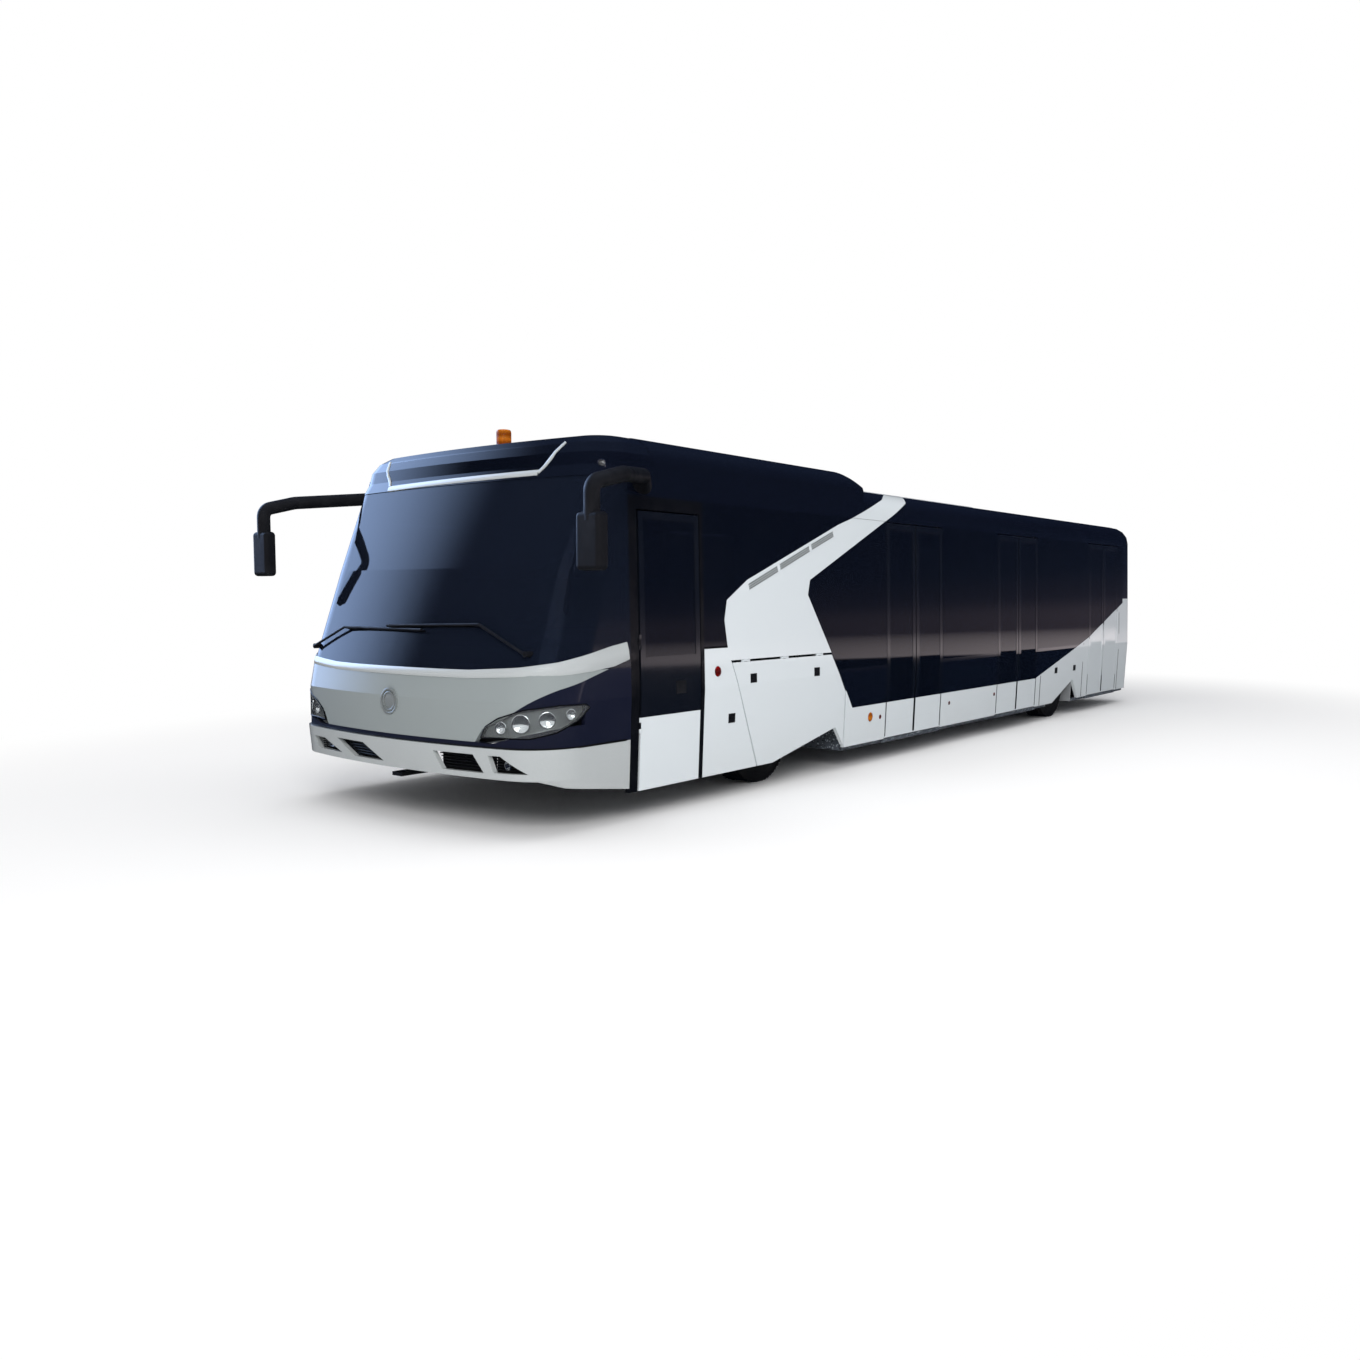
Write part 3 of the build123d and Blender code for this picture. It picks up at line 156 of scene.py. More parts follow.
def uneven_gloss(tree, shader, fac, low, high):
    """Roughness between two values, from a pattern."""
    tree.links.new(span(tree, fac, 0.3, 0.7, low, high), shader.inputs["Roughness"])


def orange_peel(tree, shader, place):
    """Ripples of sprayed lacquer, about 12 mm across."""
    bump(tree, shader, noise(tree, place, 0.012, 2), 0.012, 0.0004)


def sprayed_paint(name, base, dusty, roughness, metallic=0.0, flake=None):
    """Lacquered body paint: faint orange peel, slight dust towards the ground."""
    material, tree, shader, place = start_finish(name, Metallic=metallic, Coat_Weight=0.6,
                                                 Coat_Roughness=0.04, IOR=1.5)
    height = add(tree, "ShaderNodeSeparateXYZ", {"Vector": place}).outputs["Z"]
    film = span(tree, height, 0.2, 0.7, 0.25, 0.0)
    dust = maths(tree, "MULTIPLY", film, noise(tree, place, 0.6, 3))
    colour = between(tree, dust, base, dusty)
    if flake:
        cells = add(tree, "ShaderNodeTexVoronoi", {"Vector": place, "Scale": 1 / 0.0025}).outputs["Color"]
        spark = add(tree, "ShaderNodeSeparateColor", {"Color": cells}).outputs[0]
        colour = between(tree, span(tree, spark, 0.6, 1.0, 0.0, 0.35), colour, flake)
    colour_with(tree, shader, colour)
    uneven_gloss(tree, shader, noise(tree, place, 0.5, 4), roughness * 0.95, roughness * 1.05)
    orange_peel(tree, shader, place)
    return material


white_paint = sprayed_paint("white_polyester_paint_sprayed", WHITE, "#C6C7C4", 0.26)
dark_paint = sprayed_paint("blue_black_polyester_paint_sprayed", "#0B0F1A", "#15171D", 0.07)
silver_paint = sprayed_paint("silver_metallic_paint_sprayed", "#A4AAA9", "#8F918D", 0.30, 0.55, "#D8DCDB")
# The roof pod is white; its pale grey here is painted shade that keeps it from vanishing against the white
# ground.
pod_paint = sprayed_paint("white_pod_paint_greyed_as_painted_shade", "#BFC3C7", "#B2B3B0", 0.32)
# Pale silver of the bumper and the header trim; on the nose shoulder this paler colour is partly a painted
# highlight.
pale_silver_and_highlight_paint = sprayed_paint("pale_silver_paint_and_shoulder_highlight", "#DADFDF", "#C4C6C2", 0.24, 0.35, "#F2F4F4")
print("paints ready")

# %% [markdown]
# The white at the foot of the side ends in a line that runs level past the first two doors and
# then climbs towards the tail. On the doors the same line is painted across the leaves, so the
# leaf paint asks each point whether it lies under that line.

# %% Two-colour paints
PAINT_LINE = (2.742, 0.631), (4.850, 1.137), (6.950, 1.797)
CAB_DOOR_LINE = 0.822


def under_line(tree, place):
    """1 below the white paint's upper edge along the side, 0 above it."""
    (y0, z0), (y1, z1), (y2, z2) = PAINT_LINE
    axes = add(tree, "ShaderNodeSeparateXYZ", {"Vector": place}).outputs
    first = span(tree, axes["Y"], y0, y1, z0, z1)
    second = span(tree, axes["Y"], y1, y2, 0.0, z2 - z1)
    line = maths(tree, "ADD", first, second)
    return maths(tree, "LESS_THAN", axes["Z"], line)


def two_paints(name, mask_of, base_in, base_out, roughness=0.2):
    """Lacquered paint in two colours, parted by a mask."""
    material, tree, shader, place = start_finish(name, Coat_Weight=0.6, Coat_Roughness=0.04, IOR=1.5)
    colour = between(tree, mask_of(tree, place), base_out, base_in)
    cloud = span(tree, noise(tree, place, 0.4, 4), 0.3, 0.7, 0.0, 0.015)
    colour_with(tree, shader, between(tree, cloud, colour, "#8E8C86"))
    shader.inputs["Roughness"].default_value = roughness
    orange_peel(tree, shader, place)
    return material


def cab_door_mask(tree, place):
    """1 on the white lower part of the cab door."""
    height = add(tree, "ShaderNodeSeparateXYZ", {"Vector": place}).outputs["Z"]
    return maths(tree, "LESS_THAN", height, CAB_DOOR_LINE)


def navy_corner_mask(tree, place):
    """1 on the blue-black corners round the headlamps, 0 on the silver nose."""
    axes = add(tree, "ShaderNodeSeparateXYZ", {"Vector": place}).outputs
    reach = maths(tree, "ABSOLUTE", axes["X"])
    front = span(tree, reach, 0.93, 1.52, 0.70, 1.10)
    side = span(tree, axes["Y"], -6.544, -5.845, 0.0, 0.19)
    line = maths(tree, "ADD", front, side)
    return maths(tree, "LESS_THAN", axes["Z"], line)


leaf_paint = two_paints("leaf_paint_white_foot", under_line, WHITE, LEAF_DARK, 0.07)
cab_door_paint = two_paints("cab_door_paint_white_foot", cab_door_mask, WHITE, LEAF_DARK, 0.07)
nose_paint = two_paints("nose_paint_silver_with_dark_corners", navy_corner_mask, "#12162A", "#949B9B", 0.28)
print("two-colour paints ready")

# %% [markdown]
# ## Glass, plastics, rubber and metals
# The side glass is deeply tinted, so it looks almost like the paint, but the cab and the poles
# still show through faintly. Lenses are clear polycarbonate over bright reflectors.

# %% Glass and lenses
def tinted(name, tint, through, roughness=0.02):
    """Glass that lets a tinted share of the light through."""
    material, tree, shader, place = start_finish(name, IOR=1.5, Transmission_Weight=through)
    smear = span(tree, noise(tree, place, 0.5, 3), 0.4, 0.8, 0.0, 0.04)
    colour_with(tree, shader, between(tree, smear, tint, "#4A4C50"))
    uneven_gloss(tree, shader, noise(tree, place, 0.6, 3), roughness * 0.6, roughness * 2.0)
    return material


side_glass = tinted("tinted_safety_glass", "#151B2A", 0.7)
screen_glass = tinted("laminated_windscreen_glass", "#242C3E", 0.7)
clear_lens = tinted("clear_polycarbonate_lens", "#F2F5F6", 0.96, 0.03)


def bands(tree, place, width, axis):
    """Stripes across an axis, 2 pi widths apart."""
    return add(tree, "ShaderNodeTexWave", {"Vector": place, "Scale": 1 / (width * 20), "Distortion": 0.0},
               bands_direction=axis).outputs["Fac"]


def ribbed_lens(name, base, deep, rib, through=0.35):
    """Coloured lens with broad moulded bands, 2 pi ribs apart."""
    material, tree, shader, place = start_finish(name, IOR=1.49, Roughness=0.12, Transmission_Weight=through,
                                                 Coat_Weight=0.5)
    wave = bands(tree, place, rib, "Z")
    colour_with(tree, shader, between(tree, wave, deep, base))
    bump(tree, shader, wave, 0.5, 0.002)
    return material


red_lens = ribbed_lens("red_moulded_lens", "#B01410", "#5A0806", 0.02)
amber_lens = ribbed_lens("amber_moulded_lens", "#E8861E", "#A85208", 0.012)
print("glass and lenses ready")

# %% Plastics, rubber and cloth
def grained(name, base, worn, grain, roughness, depth, sheen=0.0):
    """Moulded or rolled surface with a fine grain and paler worn patches."""
    material, tree, shader, place = start_finish(name, IOR=1.48, Sheen_Weight=sheen)
    patches = span(tree, noise(tree, place, 0.22, 6), 0.45, 0.8, 0.0, 0.7)
    colour_with(tree, shader, between(tree, patches, base, worn))
    uneven_gloss(tree, shader, noise(tree, place, 0.1, 4), roughness - 0.08, roughness + 0.1)
    bump(tree, shader, noise(tree, place, grain, 3), 0.5, depth)
    return material


black_plastic = grained("abs_moulded_black", "#15161A", "#25262A", 0.004, 0.42, 0.0006)
gloss_black = grained("abs_moulded_black_polished", "#0C0D11", "#16171B", 0.02, 0.16, 0.0002)
seal_rubber = grained("epdm_rubber_extruded", "#0B0C0E", "#1A1A1C", 0.003, 0.6, 0.0004)
tyre_rubber = grained("tyre_rubber_moulded", "#16171A", "#2E2C2A", 0.006, 0.72, 0.0012)
chassis_paint = grained("chassis_wax_black", "#141417", "#2C2A28", 0.02, 0.55, 0.001)
iron = grained("cast_iron_rough", "#2A2A2B", "#3C3A38", 0.01, 0.7, 0.002)
headlining = grained("glass_fibre_lining_grey", "#9A9D9F", "#84868A", 0.01, 0.6, 0.0005)


def speckled_sheet():
    """Slip-resistant vinyl floor: grey with pale and dark chips about 12 mm across."""
    material, tree, shader, place = start_finish("vinyl_floor_speckled", IOR=1.5, Roughness=0.55)
    chips = add(tree, "ShaderNodeTexVoronoi", {"Vector": place, "Scale": 1 / 0.012}).outputs["Color"]
    value = add(tree, "ShaderNodeSeparateColor", {"Color": chips}).outputs[0]
    dark = between(tree, maths(tree, "LESS_THAN", value, 0.12), "#4A5058", "#24282E")
    colour_with(tree, shader, between(tree, maths(tree, "GREATER_THAN", value, 0.9), dark, "#9AA2AA"))
    bump(tree, shader, value, 0.3, 0.0006)
    return material


def woven_cloth(name, warp, weft, thread):
    """Woven seat cloth: crossing bands, 2 pi threads apart and so far coarser than real ones."""
    material, tree, shader, place = start_finish(name, Roughness=0.85, Sheen_Weight=0.3, IOR=1.45)
    check = maths(tree, "MAXIMUM", bands(tree, place, thread, "X"), bands(tree, place, thread, "Z"))
    colour_with(tree, shader, between(tree, check, warp, weft))
    bump(tree, shader, check, 0.6, 0.001)
    return material


floor_sheet = speckled_sheet()
seat_cloth = woven_cloth("wool_moquette_blue", "#1B2740", "#31436B", 0.004)
print("plastics, rubber and cloth ready")

# %% Metals
def brushed(name, base, deep, roughness, grain_axis=2, metallic=1.0):
    """Bare or plated metal with fine marks drawn along one axis."""
    material, tree, shader, place = start_finish(name, Metallic=metallic)
    stretch = [1 / 0.002] * 3
    stretch[grain_axis] = 1 / 0.15
    drawn = add(tree, "ShaderNodeMapping", {"Vector": place, "Scale": stretch}).outputs["Vector"]
    marks = add(tree, "ShaderNodeTexNoise", {"Vector": drawn, "Scale": 1.0, "Detail": 4.0}).outputs["Fac"]
    colour_with(tree, shader, between(tree, marks, deep, base))
    uneven_gloss(tree, shader, marks, roughness * 0.8, roughness * 1.3)
    return material


satin_steel = brushed("stainless_tube_satin", "#CFD1D0", "#A9ABAA", 0.28)
chrome = brushed("vacuum_plated_reflector", "#F2F3F4", "#D8DADC", 0.06)
mirror_silver = brushed("mirror_glass_silvered", "#E6E9EA", "#DCE0E2", 0.02)
wheel_paint = brushed("pressed_steel_wheel_silver_paint", "#A9ACAD", "#8E9193", 0.38, 1, 0.6)
sill_aluminium = brushed("aluminium_sill_ribbed", "#B9BCBE", "#8F9294", 0.35, 1)
print("metals ready")

# %% [markdown]
# ## Studio
# The photograph has a white ground with a soft shadow. The world and the floor show white to
# the camera, and two large soft boxes light the roof and the near corner. Gloss sees neither of
# them. It sees dark ground near the bus, a haze further out that draws the light line along the
# side glass, a dark sky, and one soft bright patch.

# %% Studio
GLOSS_WINDOW = tuple(Vector((-0.95, -0.02, 0.30)).normalized())  # way to the bright patch
HAZE = "#645C66"


def studio_world():
    """White to the camera, even light for the rest; for gloss a hazy horizon, dark sky and bright patch."""
    world = bpy.data.worlds.new("studio")
    bpy.context.scene.world = world
    world.use_nodes = True
    tree = world.node_tree
    tree.nodes.clear()
    way = add(tree, "ShaderNodeTexCoord").outputs["Generated"]
    up = add(tree, "ShaderNodeSeparateXYZ", {"Vector": way}).outputs["Z"]
    ramp = add(tree, "ShaderNodeValToRGB", {"Fac": span(tree, up, -0.1, 0.9, 0.0, 1.0)})
    stops = [(0.0, HAZE), (0.10, HAZE), (0.112, "#3E3D4B"), (0.135, "#232A3C"), (0.17, "#182034"),
             (0.40, "#121829"), (0.65, "#1A2338"), (1.0, "#39455E")]
    for place, _ in stops[1:-1]:
        ramp.color_ramp.elements.new(place)
    for element, (place, colour) in zip(ramp.color_ramp.elements, stops):
        element.position, element.color = place, linear(colour)
    toward = add(tree, "ShaderNodeVectorMath", {0: way, 1: GLOSS_WINDOW},
                 operation="DOT_PRODUCT").outputs["Value"]
    window = add(tree, "ShaderNodeMapRange", {"Value": toward, "From Min": 0.82, "From Max": 0.985},
                 interpolation_type="SMOOTHSTEP").outputs["Result"]
    rays = add(tree, "ShaderNodeLightPath").outputs
    even = add(tree, "ShaderNodeBackground", {"Color": linear("#F4F6FA"), "Strength": 0.62})
    gloss = add(tree, "ShaderNodeBackground", {"Color": ramp.outputs["Color"], "Strength": 1.0})
    patch_light = maths(tree, "MULTIPLY", window, 4.0)
    lobe = add(tree, "ShaderNodeBackground", {"Color": linear("#9DB8E6"), "Strength": patch_light})
    mirrored = add(tree, "ShaderNodeAddShader", {0: gloss.outputs[0], 1: lobe.outputs[0]})
    seen = add(tree, "ShaderNodeBackground", {"Color": (1, 1, 1, 1), "Strength": 1.0})
    first = add(tree, "ShaderNodeMixShader",
                {0: rays["Is Glossy Ray"], 1: even.outputs[0], 2: mirrored.outputs[0]})
    both = maths(tree, "MAXIMUM", rays["Is Camera Ray"], rays["Is Transmission Ray"])
    second = add(tree, "ShaderNodeMixShader", {0: both, 1: first.outputs[0], 2: seen.outputs[0]})
    out = add(tree, "ShaderNodeOutputWorld")
    tree.links.new(second.outputs[0], out.inputs["Surface"])


def soft_box(name, place, aim, width, depth, power):
    """Large rectangular lamp that looks at a point and isn't mirrored in the gloss."""
    data = bpy.data.lights.new(name, "AREA")
    data.shape, data.size, data.size_y, data.energy = "RECTANGLE", width, depth, power
    lamp = bpy.data.objects.new(name, data)
    lamp.location = place
    lamp.rotation_euler = (Vector(aim) - Vector(place)).to_track_quat("-Z", "Y").to_euler()
    lamp.visible_glossy = False
    bpy.context.scene.collection.objects.link(lamp)


def pale_floor():
    """Pale floor with the shadow near the bus and plain white further out; gloss sees it dark, then hazy."""
    mesh = bpy.data.meshes.new("studio_floor")
    reach = 160
    corners = [(-reach, -reach, 0), (reach, -reach, 0), (reach, reach, 0), (-reach, reach, 0)]
    mesh.from_pydata(corners, [], [(0, 1, 2, 3)])
    floor = bpy.data.objects.new("studio_floor", mesh)
    bpy.context.scene.collection.objects.link(floor)
    material, tree, shader, place = start_finish("studio_floor_paint", Roughness=0.9, IOR=1.1)
    cloud = span(tree, noise(tree, place, 1.5, 4), 0.3, 0.7, 0.0, 0.03)
    colour_with(tree, shader, between(tree, cloud, "#FBFAF9", "#F2EFEC"))
    scaled = add(tree, "ShaderNodeMapping", {"Vector": place, "Scale": (1.0, 0.62, 1.0)}).outputs["Vector"]
    away = add(tree, "ShaderNodeVectorMath", {0: scaled}, operation="LENGTH").outputs["Value"]
    white = add(tree, "ShaderNodeEmission", {"Color": (1, 1, 1, 1), "Strength": 1.0}).outputs[0]
    plain = add(tree, "ShaderNodeVectorMath", {0: place}, operation="LENGTH").outputs["Value"]
    haze = between(tree, span(tree, plain, 34, 100, 0.0, 1.0), "#EFE2E5", HAZE)
    ground = between(tree, span(tree, plain, 31, 33, 0.0, 1.0), "#0E1828", haze)
    mirrored = add(tree, "ShaderNodeEmission", {"Color": ground, "Strength": 1.0}).outputs[0]
    rays = add(tree, "ShaderNodeLightPath").outputs
    far = add(tree, "ShaderNodeMapRange", {"Value": away, "From Min": 4.5, "From Max": 9.0},
              interpolation_type="SMOOTHSTEP").outputs["Result"]
    plain_white = maths(tree, "MULTIPLY", rays["Is Camera Ray"], far)
    seen = add(tree, "ShaderNodeMixShader", {0: plain_white, 1: shader.outputs[0], 2: white})
    gloss = add(tree, "ShaderNodeMixShader", {0: rays["Is Glossy Ray"], 1: seen.outputs[0], 2: mirrored})
    tree.links.new(gloss.outputs[0], tree.nodes["Material Output"].inputs["Surface"])
    mesh.materials.append(material)


studio_world()
pale_floor()
soft_box("top_soft_box", (1.0, -1.0, 9.0), (0, 0, 1.0), 16, 9, 620)
soft_box("key_soft_box", (9.0, -14.0, 7.5), (0, -3.0, 1.2), 7, 5, 900)
print("studio ready")

# %% [markdown]
# ## Finishes on the CAD nodes
# Most CAD solids already have the right shape and only need their finish, so each node's slots
# are filled from one table.

# %% Finishes on the CAD nodes
FINISHES = {
    "front_bumper": pale_silver_and_highlight_paint, "front_panel": nose_paint, "windscreen": screen_glass,
    "header_panel": dark_paint, "dome_roof": dark_paint, "dome_sides": dark_paint, "main_roof": dark_paint,
    "roof_edges": dark_paint, "roof_pod": pod_paint, "cab_door_frames": gloss_black, "beacon": amber_lens,
    "slanted_panels": white_paint, "side_skirts": white_paint, "waist_panels": dark_paint,
    "window_panes": side_glass, "wall_posts": black_plastic, "door_operators": headlining,
    "cabin_floor": floor_sheet, "wheel_boxes": headlining, "cab_platform": floor_sheet,
    "chassis_frame": chassis_paint, "engine_block": iron, "axles": chassis_paint, "dashboard": black_plastic,
    "steering_wheel": black_plastic, "grab_poles": satin_steel, "rear_low_panel": white_paint,
    "rear_high_panel": dark_paint, "rear_roof": dark_paint, "mirrors": black_plastic, "wipers": black_plastic,
    "tail_lamps": red_lens, "driver_seat": seat_cloth,
}
for side in SIDES:
    FINISHES[f"cab_door_{side}"] = cab_door_paint
    FINISHES[f"engine_flap_{side}"] = white_paint
    FINISHES[f"knuckle_{side}"] = chassis_paint
    for axle in ("front", "rear"):
        FINISHES[f"tyre_{axle}_{side}"] = tyre_rubber
        FINISHES[f"rim_{axle}_{side}"] = wheel_paint
    for number in (1, 2, 3):
        for end in ("fore", "aft"):
            FINISHES[f"door{number}_{end}_{side}"] = leaf_paint
for node_name, material in FINISHES.items():
    node = nodes[node_name]
    node.data.materials.clear()
    node.data.materials.append(material)
print(len(FINISHES), "nodes finished")

# %% [markdown]
# ## Working on the body's skin
# Strips, lamps and seams lie on curved panels. Each is laid out flat, as a tailor would, in a
# distance along the skin and a height, and every corner is then put on the skin with a ray.

# %% Skin helpers
# Middle and radius of the nose's rounded corners in plan, and the distance from the middle to their end.
CORNER_X, CORNER_Y, CORNER_R = 1.12, -6.351, 0.455
CORNER_END = CORNER_X + CORNER_R * pi / 2
UP = Vector((0, 0, 1))


def skin(*names):
    """Ray target made of some CAD nodes."""
    verts, faces = [], []
    for name in names:
        mesh = nodes[name].data
        offset = len(verts)
        verts.extend(v.co.copy() for v in mesh.vertices)
        faces.extend([i + offset for i in p.vertices] for p in mesh.polygons)
    return BVHTree.FromPolygons(verts, faces)


FRONT_NODES = ["front_bumper", "front_panel", "front_lamps", "windscreen", "header_panel"]
SIDE_NODES = ["cab_door_frames", "slanted_panels", "side_skirts", "waist_panels", "window_panes",
              "dome_sides", "roof_edges", "dome_roof", "rear_low_panel", "rear_high_panel", "front_panel",
              "front_bumper", "windscreen"]
for side in SIDES:
    SIDE_NODES += [f"cab_door_{side}", f"engine_flap_{side}"]
    SIDE_NODES += [f"door{n}_{end}_{side}" for n in (1, 2, 3) for end in ("fore", "aft")]
front_skin = skin(*FRONT_NODES)
side_skin = skin(*SIDE_NODES)


def on_nose(u, z, lift=0.0):
    """Point and outward direction on the nose, with u from the middle round the corner to the side."""
    hand = -1 if u < 0 else 1
    reach = abs(u)
    if reach < CORNER_X:
        start, way = Vector((u, -9, z)), Vector((0, 1, 0))
    elif reach < CORNER_END:
        turn = (reach - CORNER_X) / CORNER_R
        way = Vector((-hand * sin(turn), cos(turn), 0))
        start = Vector((hand * CORNER_X, CORNER_Y, z)) - way * 3
    else:
        start, way = Vector((hand * 3, CORNER_Y + reach - CORNER_END, z)), Vector((-hand, 0, 0))
    point, normal, *_ = front_skin.ray_cast(start, way)
    if point is None:
        point, normal, *_ = side_skin.ray_cast(start, way)
    if normal.dot(way) > 0:
        normal = -normal
    return point + normal * lift, normal


def from_outside(start, outward, spare, lift):
    """Point and outward direction that a ray finds on the body, or else a spare point."""
    point, normal, *_ = side_skin.ray_cast(start, -outward)
    if point is None:
        point, normal = spare, outward
    if normal.dot(outward) < 0:
        normal = -normal
    return point + normal * lift, normal


def on_side(y, z, hand=1, lift=0.0):
    """Point and outward direction on the side wall."""
    return from_outside(Vector((hand * 3, y, z)), Vector((hand, 0, 0)), Vector((hand * 1.55, y, z)), lift)


def on_tail(x, z, lift=0.0):
    """Point and outward direction on the rear panels."""
    return from_outside(Vector((x, 9, z)), Vector((0, 1, 0)), Vector((x, 6.94, z)), lift)


def finish_piece(name, bm, body, material, sharp=35):
    """Make a piece from a bmesh: its faces turned outwards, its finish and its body."""
    bmesh.ops.remove_doubles(bm, verts=bm.verts, dist=1e-6)
    bmesh.ops.recalc_face_normals(bm, faces=bm.faces)
    mesh = bpy.data.meshes.new(name)
    bm.to_mesh(mesh)
    bm.free()
    mesh.materials.append(material)
    mesh.shade_smooth()
    mesh.set_sharp_from_angle(angle=radians(sharp))
    piece = bpy.data.objects.new(name, mesh)
    bpy.context.scene.collection.objects.link(piece)
    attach(piece, body)
    return piece


def patch_into(bm, outline, place, lift, depth, step=0.06):
    """Add a plate that follows the skin: an outline of flat points, cut into cells and laid on."""
    flat = bmesh.new()
    flat.faces.new([flat.verts.new((a, b, 0)) for a, b in outline])
    for axis in (0, 1):
        values = [p[axis] for p in outline]
        count = int((max(values) - min(values)) / step)
        for i in range(1, count + 1):
            cut = min(values) + (max(values) - min(values)) * i / (count + 1)
            normal = (1, 0, 0) if axis == 0 else (0, 1, 0)
            bmesh.ops.bisect_plane(flat, geom=flat.verts[:] + flat.edges[:] + flat.faces[:],
                                   plane_co=[cut * n for n in normal], plane_no=normal)
    flat.verts.index_update()
    outer, inner = [], []
    for v in flat.verts:
        point, normal = place(v.co.x, v.co.y)
        outer.append(bm.verts.new(point + normal * lift))
        inner.append(bm.verts.new(point + normal * (lift - depth)))
    for f in flat.faces:
        index = [v.index for v in f.verts]
        for ring in ([outer[i] for i in index], [inner[i] for i in reversed(index)]):
            bm.faces.new(ring)
    for e in flat.edges:
        if len(e.link_faces) == 1:
            a, b = (v.index for v in e.verts)
            bm.faces.new([outer[a], outer[b], inner[b], inner[a]])
    flat.free()


def join_rings(bm, rings, closed=False):
    """Add the faces between rings of vertices, each with the next, and the last with the first if closed."""
    for first, second in zip(rings, rings[1:] + rings[:1] if closed else rings[1:]):
        for k in range(len(first)):
            j = (k + 1) % len(first)
            bm.faces.new([first[k], first[j], second[j], second[k]])


def circle(radius, count, height=0.0):
    """Points of a circle round Z at a height."""
    return [Vector((radius * cos(2 * pi * k / count), radius * sin(2 * pi * k / count), height))
            for k in range(count)]


def strip_into(bm, line, width, lift, sink=0.004, crown=0.0, closed=False):
    """Add a strip along points of the skin: (point, outward direction) pairs, with a bevelled top."""
    count = len(line)
    rings = []
    for i, (point, normal) in enumerate(line):
        before = line[(i - 1) % count if closed else max(i - 1, 0)][0]
        after = line[(i + 1) % count if closed else min(i + 1, count - 1)][0]
        across = (after - before).cross(normal).normalized()
        w = width[i] if isinstance(width, (list, tuple)) else width
        edge = min(w * 0.25, max(lift, 0.001))
        ring = [(-w / 2, -sink), (-w / 2, lift - edge / 2), (-w / 2 + edge, lift), (0, lift + crown),
                (w / 2 - edge, lift), (w / 2, lift - edge / 2), (w / 2, -sink)]
        rings.append([bm.verts.new(point + across * a + normal * b) for a, b in ring])
    join_rings(bm, rings, closed)
    if not closed:
        bm.faces.new(rings[0])
        bm.faces.new(list(reversed(rings[-1])))


def box(a0, a1, b0, b1):
    """Corners of a flat rectangle."""
    return [(a0, b0), (a1, b0), (a1, b1), (a0, b1)]


def spread(points, step=0.05):
    """Points along a flat polyline, no further apart than step."""
    made = [points[0]]
    for (a0, b0), (a1, b1) in zip(points, points[1:]):
        parts = max(1, int(hypot(a1 - a0, b1 - b0) / step))
        made += [(a0 + (a1 - a0) * i / parts, b0 + (b1 - b0) * i / parts) for i in range(1, parts + 1)]
    return made


print("skin helpers ready")

# %% [markdown]
# ## Nose
# A bevelled shoulder runs along the foot of the windscreen and sweeps up to the door post.
# Its pale paint is partly a painted highlight: the light that the upward-facing bevel catches.
# Below it the silver panel narrows over the dark corner that holds the headlamp. The shoulder is
# a crowned strip laid on the skin, narrow in the middle and wider towards its tips.

# %% Shoulder under the windscreen
# Distance from the middle, height and width.
SHOULDER = [(0.0, 1.198, 0.062), (0.5, 1.198, 0.062), (0.85, 1.201, 0.064), (1.30, 1.226, 0.070),
            (1.64, 1.250, 0.100), (1.92, 1.288, 0.135), (2.16, 1.324, 0.158), (2.34, 1.360, 0.140)]


def shoulder_line():
    """Points along the shoulder from one door post to the other, with their widths."""
    half = spread([(u, z) for u, z, _ in SHOULDER], 0.06)
    line, widths = [], []
    for hand in (-1, 1):
        side_points = []
        for u, z in half:
            low = max(i for i, (a, _, _) in enumerate(SHOULDER) if a <= u + 1e-9)
            high = min(low + 1, len(SHOULDER) - 1)
            gap = SHOULDER[high][0] - SHOULDER[low][0]
            share = (u - SHOULDER[low][0]) / gap if gap else 0
            width = SHOULDER[low][2] + (SHOULDER[high][2] - SHOULDER[low][2]) * share
            side_points.append((hand * u, z, width))
        side_points = side_points[::-1] if hand < 0 else side_points[1:]
        for u, z, width in side_points:
            line.append(on_nose(u, z))
            widths.append(width)
    return line, widths


bm = bmesh.new()
line, widths = shoulder_line()
strip_into(bm, line, widths, 0.010, sink=0.02, crown=0.004)
# The shoulder is painted paler than the nose partly as a painted highlight on its upward bevel.
finish_piece("nose_shoulder", bm, "body", pale_silver_and_highlight_paint, 50)
print("shoulder points", len(line))

# %% [markdown]
# The headlamp is a clear lens over a silver bowl with four bright reflectors. The CAD lamp fills
# its pocket as one block, so the lens, the bowl and the reflectors replace it. Round marker lamps
# sit on the header's corners.

# %% Headlamps
LAMP = [(0.985, 0.735), (1.16, 0.742), (1.40, 0.742), (1.60, 0.785), (1.80, 0.880), (1.90, 0.955),
        (1.86, 0.982), (1.62, 0.985), (1.36, 0.955), (1.14, 0.885), (1.03, 0.820)]
# Distance from the middle, height and radius.
REFLECTORS = [(1.16, 0.815, 0.040), (1.33, 0.850, 0.062), (1.53, 0.878, 0.053), (1.72, 0.912, 0.034)]


def bowl_into(bm, point, normal, radius, depth, segments=24, rows=5):
    """Add a round dished reflector that opens outwards."""
    turn = normal.to_track_quat("Z", "Y").to_matrix()
    rings = []
    for i in range(rows + 1):
        share = i / rows
        r = radius * (1 - share) ** 0.6 if i < rows else radius * 0.12
        rings.append([bm.verts.new(point + turn @ p) for p in circle(r, segments, -depth * share)])
    join_rings(bm, rings)
    bm.faces.new(rings[-1])


